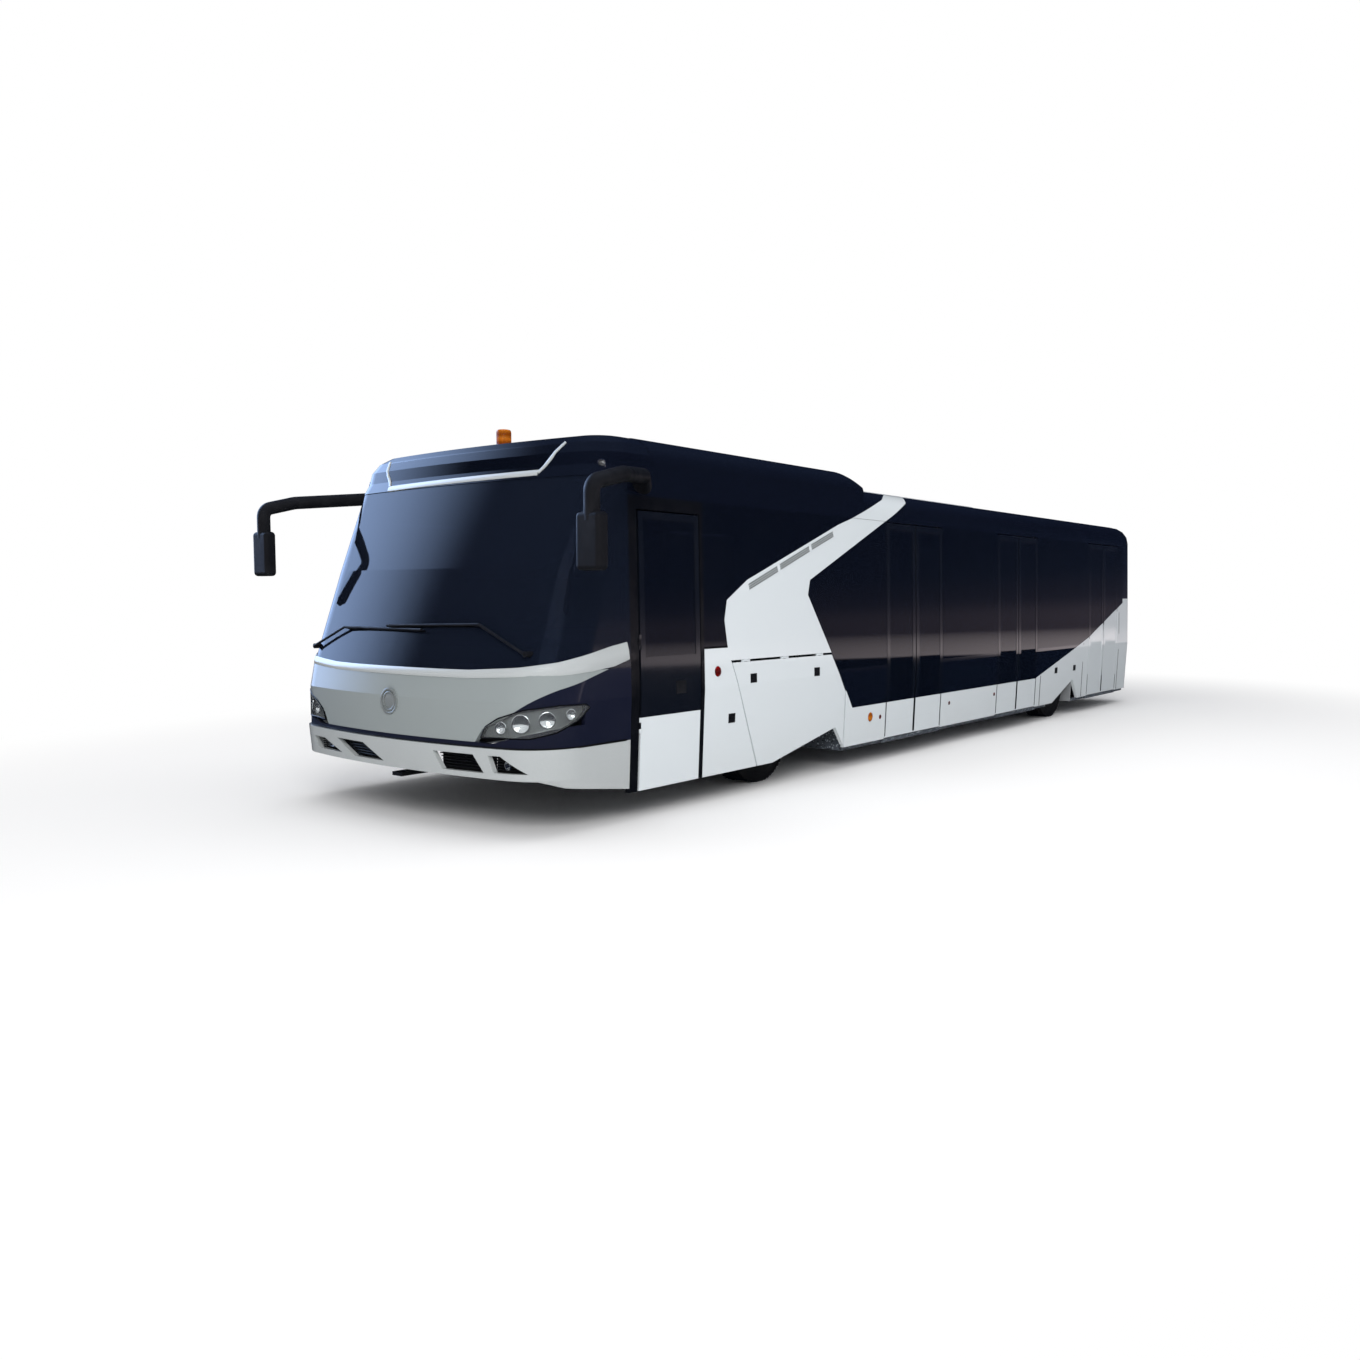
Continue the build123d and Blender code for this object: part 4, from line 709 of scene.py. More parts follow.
def lens_bulb_into(bm, point, normal, radius, height, segments=20, rows=4):
    """Add a small closed dome that stands on the skin."""
    turn = normal.to_track_quat("Z", "Y").to_matrix()
    rings = []
    for i in range(rows):
        angle = pi / 2 * i / rows
        dome = circle(radius * cos(angle), segments, height * sin(angle))
        rings.append([bm.verts.new(point + turn @ p) for p in dome])
    foot = [bm.verts.new(v.co - normal * 0.004) for v in rings[0]]
    top = bm.verts.new(point + normal * height)
    rings.insert(0, foot)
    join_rings(bm, rings)
    for k in range(segments):
        bm.faces.new([rings[-1][k], rings[-1][(k + 1) % segments], top])
    bm.faces.new(list(reversed(foot)))


def lamp_set(side, hand):
    """Bowl, reflectors, lens and rim of one headlamp."""
    outline = [(hand * u, z) for u, z in LAMP]
    bowl = bmesh.new()
    patch_into(bowl, outline, on_nose, -0.036, 0.003, 0.08)
    bright = bmesh.new()
    for u, z, radius in REFLECTORS:
        point, normal = on_nose(hand * u, z, -0.012)
        bowl_into(bright, point, normal, radius, 0.020)
        strip_into(bright, ring_line(point, normal, radius + 0.004), 0.010, 0.004, 0.004, closed=True)
    lens = bmesh.new()
    patch_into(lens, outline, on_nose, 0.004, 0.004, 0.05)
    rim = bmesh.new()
    closed = spread(outline + outline[:1], 0.05)[:-1]
    strip_into(rim, [on_nose(u, z) for u, z in closed], 0.009, 0.006, 0.03, closed=True)
    return [finish_piece(f"headlamp_bowl_{side}", bowl, "body", silver_paint),
            finish_piece(f"headlamp_reflectors_{side}", bright, "body", chrome),
            finish_piece(f"headlamp_lens_{side}", lens, "body", clear_lens),
            finish_piece(f"headlamp_rim_{side}", rim, "body", gloss_black)]


def ring_line(point, normal, radius, segments=28):
    """Closed line round a centre on the skin."""
    turn = normal.to_track_quat("Z", "Y").to_matrix()
    return [(point + turn @ p, normal) for p in circle(radius, segments)]


def marker_lamps():
    """Round clear lamps on the header's corners, each in a bright rim."""
    glass, rims = bmesh.new(), bmesh.new()
    for hand in (1, -1):
        point = Vector((hand * 1.448, -6.004, 2.790))
        normal = Vector((hand * 0.55, -0.83, 0.05)).normalized()
        hit, *_ = front_skin.ray_cast(point + normal, -normal)
        point = hit if hit is not None else point
        lens_bulb_into(glass, point, normal, 0.028, 0.012)
        strip_into(rims, ring_line(point, normal, 0.033), 0.008, 0.006, 0.006, closed=True)
    return [finish_piece("marker_lamp_glass", glass, "body", clear_lens),
            finish_piece("marker_lamp_rims", rims, "body", chrome)]


lamps = [piece for side, hand in SIDES.items() for piece in lamp_set(side, hand)]
markers = marker_lamps()
for lens_piece in lamps[2::4]:
    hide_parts("front_lamps")
print("lamps", len(lamps) + len(markers))

# %% [markdown]
# The header's dark gloss stands for the destination sign's pane. A silver bar lies under it, and a
# silver frame line sweeps up towards the roof on each side. The badge on the nose is left as a
# plain silver disc inside two rings.

# %% Header trim and badge
bm = bmesh.new()
bar = spread([(-0.93, 2.722), (0.93, 2.742)], 0.06)
strip_into(bm, [on_nose(u, z) for u, z in bar], 0.052, 0.009, 0.02, 0.003)
for hand in (1, -1):
    rise = spread([(hand * 0.93, 2.742), (hand * 1.03, 2.86), (hand * 1.10, 2.975)], 0.04)
    strip_into(bm, [on_nose(u, z) for u, z in rise], 0.030, 0.008, 0.02, 0.002)
finish_piece("sign_trim", bm, "body", pale_silver_and_highlight_paint, 50)

bm = bmesh.new()
centre, facing = on_nose(0, 0.955)
for ring_radius, ring_lift in ((0.096, 0.010), (0.070, 0.008)):
    strip_into(bm, ring_line(centre, facing, ring_radius, 48), 0.016, ring_lift, 0.004, closed=True)
lens_bulb_into(bm, centre, facing, 0.066, 0.003, 48)
finish_piece("badge_disc", bm, "body", silver_paint)
print("header trim and badge ready")

# %% [markdown]
# The bumper's four slanting openings have dark grilles behind them, the outer pair with small fog
# lamps. The slats repeat, so Geometry Nodes would suit them, but each row is cut to a slanting
# opening on the bumper's curve, so they are laid as strips behind the bumper.

# %% Bumper grilles
OPENINGS = [
    [(0.524, 0.608), (0.927, 0.608), (1.019, 0.472), (0.613, 0.472)],
    [(1.066, 0.608), (1.178, 0.608), (1.375, 0.480), (1.108, 0.480)],
    [(-0.750, 0.602), (-0.343, 0.602), (-0.070, 0.474), (-0.478, 0.474)],
    [(-1.180, 0.580), (-0.973, 0.580), (-0.677, 0.482), (-1.100, 0.482)],
]


# Plan of the plates behind the bumper: a shallow arc in the middle that bends back at the corners.
BACK_Y = -6.875
NOSE_R, CORNER_LEAN, CORNER_REACH = 6.0, 0.19, 0.4


def back_of_bumper(x, z):
    """Point a little behind the bumper's inner face, by its plan curve."""
    flat = min(abs(x), CORNER_X)
    over = min(abs(x) - flat, CORNER_REACH)
    bow = NOSE_R - (NOSE_R * NOSE_R - flat * flat) ** 0.5
    bend = bow + over * CORNER_LEAN + CORNER_R - (CORNER_R ** 2 - over * over) ** 0.5
    return Vector((x, BACK_Y + bend, z)), Vector((0, -1, 0))


def across(outline, z):
    """Left and right ends of an outline at a height."""
    ends = []
    for (x0, z0), (x1, z1) in zip(outline, outline[1:] + outline[:1]):
        if min(z0, z1) < z < max(z0, z1):
            ends.append(x0 + (x1 - x0) * (z - z0) / (z1 - z0))
    return min(ends), max(ends)


slats, plates, fog = bmesh.new(), bmesh.new(), bmesh.new()
for outline in OPENINGS:
    low, high = min(z for _, z in outline), max(z for _, z in outline)
    x0, x1 = min(x for x, _ in outline), max(x for x, _ in outline)
    plate = box(x0 - 0.02, x1 + 0.02, low - 0.02, high + 0.02)
    patch_into(plates, plate, back_of_bumper, -0.050, 0.004, 0.09)
    for row in range(1, 6):
        z = low + (high - low) * row / 6
        left, right = across(outline, z)
        run = spread([(left - 0.01, z), (right + 0.01, z)], 0.06)
        strip_into(slats, [back_of_bumper(x, b) for x, b in run], 0.007, 0.004, 0.020)
for x in (1.19, -0.93):
    point, normal = back_of_bumper(x, 0.532)
    bowl_into(fog, point + normal * 0.012, normal, 0.026, 0.016)
    strip_into(fog, ring_line(point + normal * 0.012, normal, 0.029), 0.008, 0.004, 0.008, closed=True)
finish_piece("bumper_slats", slats, "body", gloss_black)
finish_piece("bumper_backs", plates, "body", chassis_paint)
finish_piece("fog_lamps", fog, "body", chrome)

seam = bmesh.new()
line = [on_nose(u, 0.664) for u, _ in spread([(-2.33, 0), (2.33, 0)], 0.06)]
strip_into(seam, line, 0.016, 0.002, 0.02)
finish_piece("bumper_seam", seam, "body", seal_rubber)
print("bumper ready")

# %% [markdown]
# ## Side
# The white slanted band carries on over the rounded edge of the roof. It is a patch that follows
# the skin, with its flat side corners given as a distance along the bus and a place round the
# edge's quarter circle.

# %% White band over the roof edge
EAVE_X, EAVE_Z, EAVE_R = 1.5365, 2.620, 0.270
PANEL_TOP_X, PANEL_TOP_Z = 1.5378, 2.567


def on_edge(y, s, hand):
    """Point on the roof's rounded edge: s is the height up to the eave, then runs round the arc."""
    if s <= EAVE_Z:
        x = PANEL_TOP_X + (EAVE_X - PANEL_TOP_X) * (s - PANEL_TOP_Z) / (EAVE_Z - PANEL_TOP_Z)
        return Vector((hand * x, y, s)), Vector((hand, 0, 0))
    turn = min((s - EAVE_Z) / EAVE_R, pi / 2)
    flat = max(0.0, s - EAVE_Z - EAVE_R * pi / 2)
    way = Vector((hand * cos(turn), 0, sin(turn)))
    centre = Vector((hand * (EAVE_X - EAVE_R), y, EAVE_Z))
    return centre + way * EAVE_R + Vector((-hand * flat, 0, flat * 0.02)), way


for side, hand in SIDES.items():
    bm = bmesh.new()
    band = [(-2.34, 2.569), (-1.65, 2.569), (-1.07, 2.81), (-0.84, 3.06), (-1.17, 3.06), (-1.62, 2.81)]
    patch_into(bm, band, lambda y, s: on_edge(y, s, hand), 0.005, 0.008, 0.05)
    finish_piece(f"roof_band_{side}", bm, "body", white_paint)
print("roof bands ready")

# %% [markdown]
# Each door leaf has one bonded pane, flush in its frame, a white panel below the paint line, and
# dark strips along its edges. All ride on the leaf. The cab door has its own pane.

# %% Door panes
DOOR_CENTRES = (-0.940, 2.050, 5.530)
LEAF_LOW, LEAF_TOP = 0.420, 2.485
HALF_WIDTH, WIDEST_Z = 1.575, 1.0


def skin_x(z):
    """Half width of the body at a height: 30 mm less at its foot and 38 mm less at its eaves."""
    if z < WIDEST_Z:
        return HALF_WIDTH - 0.030 * (WIDEST_Z - z) / 0.765
    return HALF_WIDTH - 0.038 * (z - WIDEST_Z) / 1.6


def paint_line(y):
    """Height of the white paint's upper edge."""
    (y0, z0), (y1, z1), (y2, z2) = PAINT_LINE
    if y < y0:
        return z0
    if y < y1:
        return z0 + (z1 - z0) * (y - y0) / (y1 - y0)
    return z1 + (z2 - z1) * (y - y1) / (y2 - y1)


def flat_wall(hand, inset):
    """Placing function on the body's side, set in by a distance."""
    return lambda y, z: (Vector((hand * (skin_x(z) - inset), y, z)), Vector((hand, 0, 0)))


def leaf_pieces(number, end_name, side, hand):
    """Pane, white foot, meeting rubber and edge strips of one leaf."""
    centre, end = DOOR_CENTRES[number - 1], -1 if end_name == "fore" else 1
    y0, y1 = sorted((centre + end * 0.680, centre + end * 0.010))
    y0, y1 = y0 + 0.070, y1 - 0.070
    body = f"leaf{number}_{end_name}_{side}"
    wall = flat_wall(hand, 0.003)
    line0, line1 = max(paint_line(y0), LEAF_LOW), max(paint_line(y1), LEAF_LOW)
    pane, foot, rubber = bmesh.new(), bmesh.new(), bmesh.new()
    patch_into(pane, [(y0, line0), (y1, line1), (y1, LEAF_TOP), (y0, LEAF_TOP)], wall, 0.0, 0.006, 0.06)
    finish_piece(f"pane{number}_{end_name}_{side}", pane, body, side_glass)
    patch_into(foot, [(y0, LEAF_LOW), (y1, LEAF_LOW), (y1, line1), (y0, line0)], wall, 0.001, 0.012, 0.3)
    finish_piece(f"foot{number}_{end_name}_{side}", foot, body, leaf_paint)
    meet = centre + end * 0.009
    run = [(meet, 0.26), (meet, 1.0), (meet, 2.54)]
    strip_into(rubber, [(Vector((hand * (skin_x(z) - 0.020), y, z)), Vector((0, -end, 0))) for y, z in run],
               0.030, 0.006, 0.002)
    for y in (centre + end * 0.668, centre + end * 0.013):
        edge = [(Vector((hand * skin_x(z), y, z)), Vector((hand, 0, 0))) for z in (0.26, 0.45, paint_line(y))]
        strip_into(rubber, edge, 0.018, 0.0015, 0.003)
    finish_piece(f"rubber{number}_{end_name}_{side}", rubber, body, seal_rubber)


for side, hand in SIDES.items():
    for number in (1, 2, 3):
        for end_name in ("fore", "aft"):
            leaf_pieces(number, end_name, side, hand)
    bm = bmesh.new()
    patch_into(bm, box(-5.630, -4.978, 1.300, 2.390), flat_wall(hand, 0.004), 0, 0.006, 0.3)
    finish_piece(f"cab_pane_{side}", bm, f"cab_door_body_{side}", side_glass)
print("door panes ready")

# %% [markdown]
# Small things on the side: seams between the skirt panels, square flap latches, round markers,
# the indicator lamp, the recessed cab door handle and the grey vent strips on the slanted band.
# They are few and each is in its own place, so they come from tables.

# %% Side details
SEAMS = [[(2.900, 0.24), (2.900, 0.66)], [(4.610, 0.24), (4.610, 1.05)], [(6.300, 0.24), (6.300, 1.50)],
         [(-4.530, 1.343), (-4.862, 1.343)]]
LATCHES = [(-4.46, 0.712, "body"), (3.49, 0.70, "body"), (4.25, 0.70, "body"), (-4.14, 1.046, "flap"),
           (-3.06, 1.044, "flap")]
VENTS = [[(-4.207, 1.905), (-3.75, 2.07)], [(-3.70, 2.09), (-3.20, 2.27)], [(-3.15, 2.29), (-2.75, 2.43)]]
LOUVRES = (0.024, 0.044, 0.064)  # how far each of a vent's three strips lies below its line
MARKERS = [(-1.735, 0.485), (-0.03, 0.502), (1.302, 0.513)]


def latch_into(bm, y, z, hand, size=0.045):
    """Add a square recessed latch: a raised frame round a sunk plate."""
    square = box(y - size, y + size, z - size * 0.8, z + size * 0.8)
    strip_into(bm, [on_side(a, b, hand) for a, b in square], 0.014, 0.004, 0.004, closed=True)
    patch_into(bm, square, lambda a, b: on_side(a, b, hand), 0.001, 0.004, 0.2)
    strip_into(bm, [on_side(a, z, hand) for a in (y - size * 0.5, y + size * 0.5)], 0.020, 0.005, 0.002)


for side, hand in SIDES.items():
    seams, vents, reds, ambers = bmesh.new(), bmesh.new(), bmesh.new(), bmesh.new()
    latches = {"body": bmesh.new(), "flap": bmesh.new()}
    for run in SEAMS:
        strip_into(seams, [on_side(y, z, hand) for y, z in spread(run, 0.3)], 0.018, 0.001, 0.003)
    for (y0, z0), (y1, z1) in VENTS:
        tilt = Vector((0, y1 - y0, z1 - z0)).normalized()
        for below in LOUVRES:
            drop = Vector((0, tilt.z, -tilt.y)) * below
            run = spread([(y0 + drop.y, z0 + drop.z), (y1 + drop.y, z1 + drop.z)], 0.1)
            strip_into(vents, [on_side(y, z, hand) for y, z in run], 0.013, 0.005, 0.004)
    for y, z, carrier in LATCHES:
        latch_into(latches[carrier], y, z, hand)
    for y, z in MARKERS:
        lens_bulb_into(reds, *on_side(y, z, hand), 0.024, 0.008)
    lens_bulb_into(ambers, *on_side(-1.950, 0.502, hand), 0.050, 0.008, 32)
    lens_bulb_into(reds, *on_side(-4.676, 1.135, hand), 0.046, 0.014, 28)
    finish_piece(f"skirt_seams_{side}", seams, "body", seal_rubber)
    finish_piece(f"band_vents_{side}", vents, "body", silver_paint)
    finish_piece(f"side_reds_{side}", reds, "body", red_lens)
    finish_piece(f"side_ambers_{side}", ambers, "body", amber_lens)
    finish_piece(f"latches_{side}", latches["body"], "body", black_plastic)
    finish_piece(f"flap_latches_{side}", latches["flap"], f"flap_{side}", black_plastic)
    handle = bmesh.new()
    latch_into(handle, -5.185, 1.035, hand, 0.060)
    finish_piece(f"cab_handle_{side}", handle, f"cab_door_body_{side}", black_plastic)
print("side details ready")

# %% [markdown]
# ## Wheels
# A bus tyre has a ribbed tread with cross grooves and a plain sidewall with raised rings. The
# tyre's body is a turned profile, and the tread blocks are one small block repeated round it.
# Geometry Nodes does the repeating: a circle of points carries the block, turned outwards. A row of
# points does the same for the hand loops along the rails.

# %% Repeating a shape round an axle or along a rail
def repeat_tree(name, distance, points_of):
    """Node tree that repeats the incoming mesh: inputs Count, a distance and Material."""
    tree = bpy.data.node_groups.new(name, "GeometryNodeTree")
    kinds = {"Geometry": "Geometry", "Count": "Int", distance: "Float", "Material": "Material"}
    for label, kind in kinds.items():
        tree.interface.new_socket(label, in_out="INPUT", socket_type=f"NodeSocket{kind}")
    tree.interface.new_socket("Geometry", in_out="OUTPUT", socket_type="NodeSocketGeometry")
    given = add(tree, "NodeGroupInput").outputs
    points = points_of(tree, given)
    copies = add(tree, "GeometryNodeInstanceOnPoints", {**points, "Instance": given["Geometry"]}).outputs[0]
    real = add(tree, "GeometryNodeRealizeInstances", {"Geometry": copies}).outputs[0]
    dressed = add(tree, "GeometryNodeSetMaterial", {"Geometry": real, "Material": given["Material"]})
    add(tree, "NodeGroupOutput", {"Geometry": dressed.outputs[0]})
    return tree


def ring_points(tree, given):
    """Points on a circle round the X axis, and the turn that stands a copy outwards on each."""
    line = add(tree, "GeometryNodeMeshLine", {"Count": given["Count"], "Offset": (0, 0, 0)}).outputs[0]
    share = maths(tree, "DIVIDE", add(tree, "GeometryNodeInputIndex").outputs[0], given["Count"])
    turn = add(tree, "ShaderNodeCombineXYZ", {"X": maths(tree, "MULTIPLY", share, 2 * pi)}).outputs[0]
    spoke = add(tree, "ShaderNodeCombineXYZ", {"Z": given["Radius"]}).outputs[0]
    place = add(tree, "ShaderNodeVectorRotate", {"Vector": spoke, "Rotation": turn},
                rotation_type="EULER_XYZ").outputs[0]
    moved = add(tree, "GeometryNodeSetPosition", {"Geometry": line, "Position": place}).outputs[0]
    return {"Points": moved, "Rotation": turn}


def row_points(tree, given):
    """Points in a row along Y."""
    offset = add(tree, "ShaderNodeCombineXYZ", {"Y": given["Step"]}).outputs[0]
    line = add(tree, "GeometryNodeMeshLine", {"Count": given["Count"], "Offset": offset})
    return {"Points": line.outputs[0]}


RING = repeat_tree("repeat_round_axle", "Radius", ring_points)
ROW = repeat_tree("repeat_along_rail", "Step", row_points)


def repeated(bm, tree, place, **values):
    """Mesh of a small shape repeated by a node tree, moved to its place."""
    mesh = bpy.data.meshes.new("unit")
    bm.to_mesh(mesh)
    bm.free()
    unit = bpy.data.objects.new("unit", mesh)
    bpy.context.scene.collection.objects.link(unit)
    modifier = unit.modifiers.new("repeat", "NODES")
    modifier.node_group = tree
    for item in tree.interface.items_tree:
        if item.in_out == "INPUT" and item.name in values:
            modifier[item.identifier] = values[item.name]
    graph = bpy.context.evaluated_depsgraph_get()
    made = bpy.data.meshes.new_from_object(unit.evaluated_get(graph), depsgraph=graph)
    bpy.data.objects.remove(unit)
    made.transform(Matrix.Translation(place))
    return made


def block(size, offset=(0, 0, 0), slant=0.0):
    """Small block with bevelled top edges, sheared along its length."""
    bm = bmesh.new()
    bmesh.ops.create_cube(bm, size=1.0)
    for v in bm.verts:
        narrow = 0.86 if v.co.z > 0 else 1.0
        v.co = Vector((v.co.x * size[0] * narrow + offset[0],
                       v.co.y * size[1] * narrow + offset[1] + v.co.x * slant,
                       v.co.z * size[2] + offset[2]))
    return bm


def turned(profile, centre, segments=96):
    """Solid of revolution round an axle: profile points are (distance along the axle, radius)."""
    bm = bmesh.new()
    rings = []
    for a, r in profile:
        rings.append([bm.verts.new((centre[0] + a, centre[1] + r * sin(2 * pi * k / segments),
                                    centre[2] + r * cos(2 * pi * k / segments))) for k in range(segments)])
    join_rings(bm, rings, closed=True)
    return bm


for tree in (RING, ROW):
    print(tree.name, [item.name for item in tree.interface.items_tree if item.in_out == "INPUT"])

# %% Tyres
TYRE_R, TREAD_R = 0.478, 0.4760
AXLES = (("front", 1.130, -3.580), ("rear", 1.262, 3.750))  # name, middle of the tyre, place along the bus
GROOVES = (-0.066, -0.022, 0.022, 0.066)


def tyre_profile():
    """Closed profile of the tyre: beads, bulged sidewalls with rings, and a grooved tread."""
    side_run = [(0.1125, 0.2865), (0.122, 0.300), (0.1305, 0.325), (0.1315, 0.329), (0.1345, 0.332),
                (0.1360, 0.365), (0.1372, 0.380), (0.1352, 0.384), (0.1340, 0.405), (0.1300, 0.432),
                (0.1270, 0.440), (0.1240, 0.456), (0.1120, 0.468)]
    tread = [(0.098, 0.4755)]
    for x in reversed(GROOVES):
        tread += [(x + 0.0060, 0.4765), (x + 0.0045, 0.4655), (x - 0.0045, 0.4655), (x - 0.0060, 0.4765)]
    tread.append((-0.098, 0.4755))
    left = [(-a, r) for a, r in reversed(side_run)]
    return side_run + tread + left


tyres = {}
for side, hand in SIDES.items():
    for axle, x, y in AXLES:
        centre = Vector((hand * x, y, TYRE_R))
        bm = turned(tyre_profile(), centre)
        for offset in (0.115, -0.115):
            lug = block((0.026, 0.030, 0.020), (offset, 0, -0.012), slant=0.2)
            bm.from_mesh(repeated(lug, RING, centre, Count=60, Radius=TREAD_R, Material=tyre_rubber))
        wheel = f"wheel_{axle}_{side}"
        tyre = finish_piece(f"tyre_dressed_{axle}_{side}", bm, wheel, tyre_rubber, 30)
        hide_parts(f"tyre_{axle}_{side}")
        tyres[f"{axle}_{side}"] = len(tyre.data.polygons)
print("tyre faces", tyres)

# %% [markdown]
# The CAD rim keeps its shape. Ten wheel nuts with washers and a hub cap are added, and the nuts
# are again one shape repeated round the axle.

# %% Wheel nuts and hub caps
WHEEL_FACE, NUT_CIRCLE_R = 0.064, 0.1325


def nut(hand):
    """Hexagonal nut on a washer, standing off the wheel's disc along the axle."""
    bm = bmesh.new()
    washer, hexagon, stud = (0.022, 0.0, 0.005, 20), (0.0165, 0.005, 0.026, 6), (0.009, 0.026, 0.036, 12)
    for radius, low, high, sides in (washer, hexagon, stud):
        base = [bm.verts.new((hand * low, p.y, p.x)) for p in circle(radius, sides)]
        top = [bm.verts.new((hand * high, v.co.y * 0.94, v.co.z * 0.94)) for v in base]
        join_rings(bm, [base, top])
        bm.faces.new(top)
        bm.faces.new(list(reversed(base)))
    return bm


for side, hand in SIDES.items():
    for axle, x, y in AXLES:
        centre = Vector((hand * x + hand * WHEEL_FACE, y, TYRE_R))
        bm = bmesh.new()
        bm.from_mesh(repeated(nut(hand), RING, centre, Count=10, Radius=NUT_CIRCLE_R, Material=satin_steel))
        finish_piece(f"wheel_nuts_{axle}_{side}", bm, f"wheel_{axle}_{side}", satin_steel, 30)
        cap = [(0.0, 0.078), (0.030, 0.072), (0.040, 0.060), (0.044, 0.030), (0.045, 0.0005), (0.006, 0.0005)]
        bm = turned([(hand * a, r) for a, r in cap], centre, 48)
        finish_piece(f"hub_cap_{axle}_{side}", bm, f"wheel_{axle}_{side}", wheel_paint, 40)
print("wheel nuts ready")

# %% [markdown]
# ## Tail
# The rear isn't in the photograph. It gets what such buses have: framed lamp clusters with small
# clear lamps, a window rubber, cooling slots low down and a plain plate panel.

# %% Tail details
rims, slots, plate, white_lamps = bmesh.new(), bmesh.new(), bmesh.new(), bmesh.new()
for hand in (1, -1):
    frame_line = box(hand * 1.225, hand * 1.420, 0.755, 1.165)
    frame_line = spread(frame_line + frame_line[:1], 0.08)[:-1]
    strip_into(rims, [on_tail(x, z) for x, z in frame_line], 0.018, 0.006, 0.01, closed=True)
    for z in (0.890, 1.025):
        strip_into(rims, [on_tail(hand * x, z) for x in (1.235, 1.410)], 0.010, 0.005, 0.004)
    for z in (0.800, 1.095):
        lens_bulb_into(white_lamps, *on_tail(hand * 1.32, z), 0.032, 0.008, 24)
for row in range(9):
    z = 0.36 + row * 0.045
    strip_into(slots, [on_tail(x, z) for x, _ in spread([(-0.75, 0), (0.75, 0)], 0.15)], 0.022, 0.006, 0.004)
patch_into(plate, box(-0.27, 0.27, 0.86, 0.98), on_tail, 0.006, 0.008, 0.2)
window = box(-1.08, 1.08, 1.80, 2.48)
window = spread(window + window[:1], 0.09)[:-1]
glass_rubber = bmesh.new()
strip_into(glass_rubber, [on_tail(x, z) for x, z in window], 0.030, 0.005, 0.006, closed=True)
finish_piece("tail_lamp_frames", rims, "body", gloss_black)
finish_piece("tail_slots", slots, "body", black_plastic)
finish_piece("tail_plate", plate, "body", white_paint)
finish_piece("tail_reverse_lamps", white_lamps, "body", clear_lens)
finish_piece("tail_window_rubber", glass_rubber, "body", seal_rubber)
print("tail ready")

# %% [markdown]
# ## Mirrors, beacon and wipers
# The mirror heads look back along the bus, so their glass faces +Y. The beacon gets a dark foot
# ring and moulded ribs, and each wiper a rubber blade between its arm and the glass.

# %% Mirrors, beacon and wipers
BEACON_Y = -5.670


def upright(y):
    """Placing function on a plane across the bus that faces the rear."""
    return lambda x, z: (Vector((x, y, z)), Vector((0, 1, 0)))


for side, hand in SIDES.items():
    bm = bmesh.new()
    outline = box(hand * 2.03 - 0.078, hand * 2.03 + 0.078, 1.999, 2.321)
    patch_into(bm, outline, upright(-6.685), 0.002, 0.006, 0.3)
    finish_piece(f"mirror_glass_{side}", bm, "body", mirror_silver)

bm = bmesh.new()
foot = Vector((0, BEACON_Y, 3.052))
strip_into(bm, [(p, (p - foot).normalized()) for p, _ in ring_line(foot, UP, 0.066, 40)], 0.030, 0.006, 0.010,
           closed=True)
finish_piece("beacon_ring", bm, "body", gloss_black)

bm = bmesh.new()
for way in circle(1, 24):
    rib = [(Vector((0, BEACON_Y, z)) + way * 0.0615, way) for z in (3.086, 3.150, 3.192)]
    strip_into(bm, rib, 0.006, 0.003, 0.004)
finish_piece("beacon_ribs", bm, "body", amber_lens)

WIPERS = [((0.840, 1.570), (-0.190, 1.545)), ((-0.840, 1.520), (0.250, 1.520))]
bm = bmesh.new()
for (x0, z0), (x1, z1) in WIPERS:
    run = spread([(x0, z0 - 0.012), (x1, z1 - 0.012)], 0.05)
    strip_into(bm, [on_nose(x, z) for x, z in run], 0.012, 0.022, 0.0)
finish_piece("wiper_blades", bm, "body", seal_rubber)
print("mirrors, beacon and wipers ready")

# %% [markdown]
# ## Inside
# The cab and the cabin are seen faintly through the tinted glass and plainly with the doors
# open. The driver's seat is foam under moquette: a crowned cushion and back with bolsters and sewn
# channels, and a plain headrest. Each pad starts as a block cut into a grid and is shaped in code.

# %% Driver's seat
def pad(name, centre, size, crown, tilt=0.0, channels=0):
    """Cushion: a closed form, crowned on its face and drawn in along its sides."""
    bm = bmesh.new()
    bmesh.ops.create_cube(bm, size=2.0)
    bmesh.ops.subdivide_edges(bm, edges=bm.edges[:], cuts=11, use_grid_fill=True)
    for v in bm.verts:
        a, b, c = v.co
        pull = 1 - 0.06 * (1 - abs(c)) - 0.05 * (a * a) * (b * b)
        x, y, z = a * pull, b * pull, c
        round_off = 1 - 0.22 * max(0.0, max(abs(a), abs(b)) - 0.6) ** 2 / 0.16
        bolster = 0.35 * max(0.0, abs(a) - 0.55)
        z = z * round_off + (crown * (1 - a * a) * (1 - b * b) + bolster) * (1 if c > 0 else 0)
        for i in range(channels):
            line = -0.5 + i / max(1, channels - 1)
            z -= 0.10 * max(0.0, 1 - abs(b - line) / 0.06) * (1 if c > 0 else 0) * (1 if abs(a) < 0.62 else 0)
        v.co = Vector((x * size[0] / 2, y * size[1] / 2, z * size[2] / 2))
    place = Matrix.Translation(centre) @ Matrix.Rotation(tilt, 4, "X")
    bmesh.ops.transform(bm, matrix=place, verts=bm.verts)
    piece = finish_piece(name, bm, "body", seat_cloth, 60)


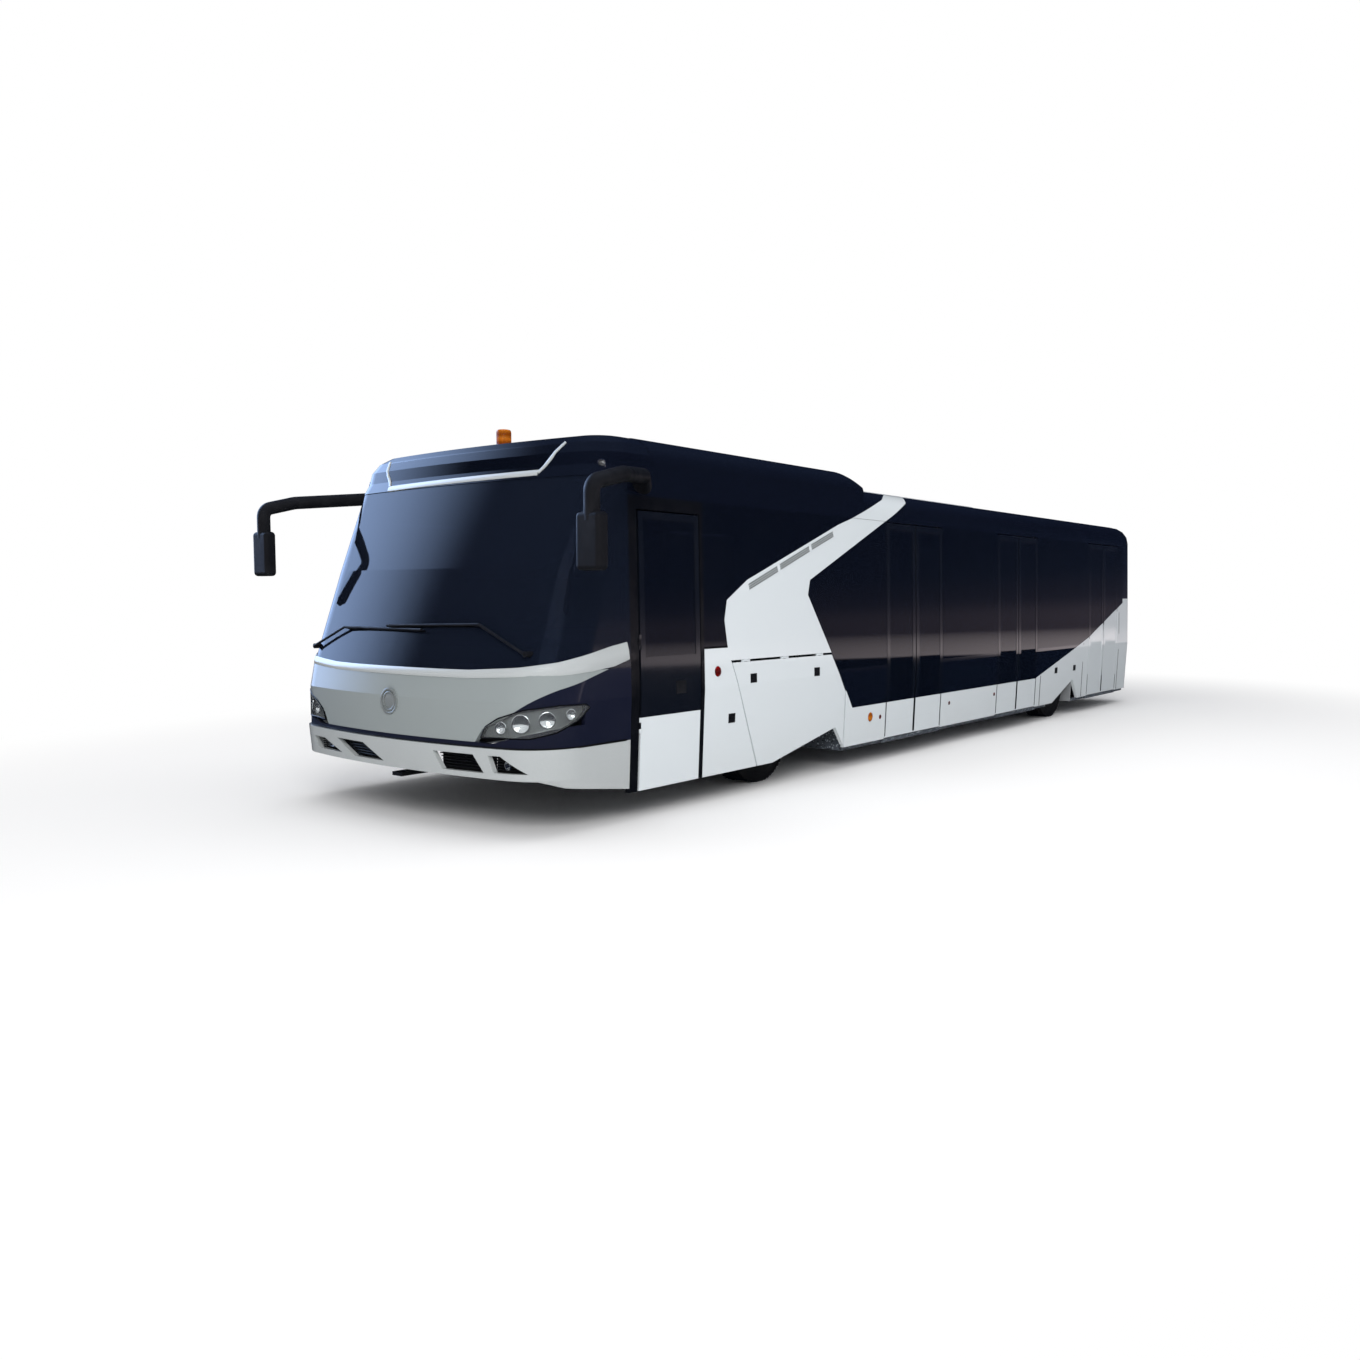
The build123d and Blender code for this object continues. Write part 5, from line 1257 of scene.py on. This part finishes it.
pad("driver_cushion", Vector((0.640, -5.335, 1.452)), (0.49, 0.50, 0.105), 0.25, channels=3)
pad("driver_back", Vector((0.640, -5.105, 1.780)), (0.47, 0.46, 0.085), 0.25, radians(90), channels=3)
pad("driver_headrest", Vector((0.640, -5.100, 2.110)), (0.28, 0.17, 0.075), 0.2, radians(90))
shell = bmesh.new()
patch_into(shell, [(0.41, 1.50), (0.87, 1.50), (0.84, 2.04), (0.44, 2.04)], upright(-5.035), 0.0, 0.012, 0.3)
patch_into(shell, box(0.41, 0.87, -5.58, -5.09), lambda x, y: (Vector((x, y, 1.400)), UP), 0.0, 0.02, 0.3)
post = turned([(-0.17, 0.06), (0.17, 0.06), (0.17, 0.001), (-0.17, 0.001)], Vector((0, 0, 0)), 24)
stand = Matrix.Translation((0.640, -5.32, 1.230)) @ Matrix.Rotation(radians(90), 4, "Y")
bmesh.ops.transform(post, matrix=stand, verts=post.verts)
spare = bpy.data.meshes.new("post")
post.to_mesh(spare)
post.free()
shell.from_mesh(spare)
frame_piece = finish_piece("driver_seat_frame", shell, "body", black_plastic)
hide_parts("driver_seat")
print("driver's seat ready")

# %% Hand loops along the rails
def hand_loop():
    """Strap and three-cornered grip that hang from a rail, about the rail's axis."""
    bm = bmesh.new()
    front = Vector((0, 1, 0))
    strap = [(Vector((0, 0.014, z)), front) for z in (0.018, -0.12)]
    strip_into(bm, strap, 0.028, 0.002, 0.002)
    corners = [(0, -0.115), (0.062, -0.225), (-0.062, -0.225)]
    line = []
    for (x0, z0), (x1, z1) in zip(corners, corners[1:] + corners[:1]):
        for share in (0.12, 0.5, 0.88):
            line.append((Vector((x0 + (x1 - x0) * share, 0.014, z0 + (z1 - z0) * share)), front))
    strip_into(bm, line, 0.018, 0.008, 0.008, closed=True)
    return bm


for side, hand in SIDES.items():
    bm = bmesh.new()
    first = Vector((hand * 0.6662, -1.90, 2.050))
    bm.from_mesh(repeated(hand_loop(), ROW, first, Count=17, Step=0.48, Material=gloss_black))
    finish_piece(f"hand_loops_{side}", bm, "body", gloss_black)
print("hand loops ready")

# %% Dashboard and cab fittings
SLOPE = 0.25


def on_dash_top(x, y):
    """Point and outward direction on the dashboard's sloping top."""
    return Vector((x, y, 1.44 + (-6.13 - y) * SLOPE)), Vector((0, SLOPE, 1)).normalized()


def on_dash_face(x, z):
    """Point and outward direction on the dashboard's leaning face."""
    return Vector((x, -6.100 - (z - 1.06) * SLOPE, z)), Vector((0, 1, SLOPE)).normalized()


bm = bmesh.new()
patch_into(bm, [(0.36, -6.30), (0.92, -6.30), (0.90, -6.13), (0.38, -6.13)], on_dash_top, 0.05, 0.10, 0.1)
finish_piece("instrument_cowl", bm, "body", gloss_black)
bm = bmesh.new()
for i in range(8):
    patch_into(bm, box(-0.30 + i * 0.06, -0.262 + i * 0.06, 1.25, 1.29), on_dash_face, 0.006, 0.008, 0.1)
finish_piece("dash_switches", bm, "body", gloss_black)
print("cab fittings ready")

# %% Door sills
SILL_Z = 0.2352
for side, hand in SIDES.items():
    bm = bmesh.new()
    for centre in DOOR_CENTRES:
        for row in range(3):
            x = hand * (1.28 + row * 0.035)
            rib = [(Vector((x, y, SILL_Z)), UP) for y in (centre - 0.66, centre, centre + 0.66)]
            strip_into(bm, rib, 0.024, 0.003, 0.001)
    finish_piece(f"door_sill_ribs_{side}", bm, "body", sill_aluminium)
print("sills ready")
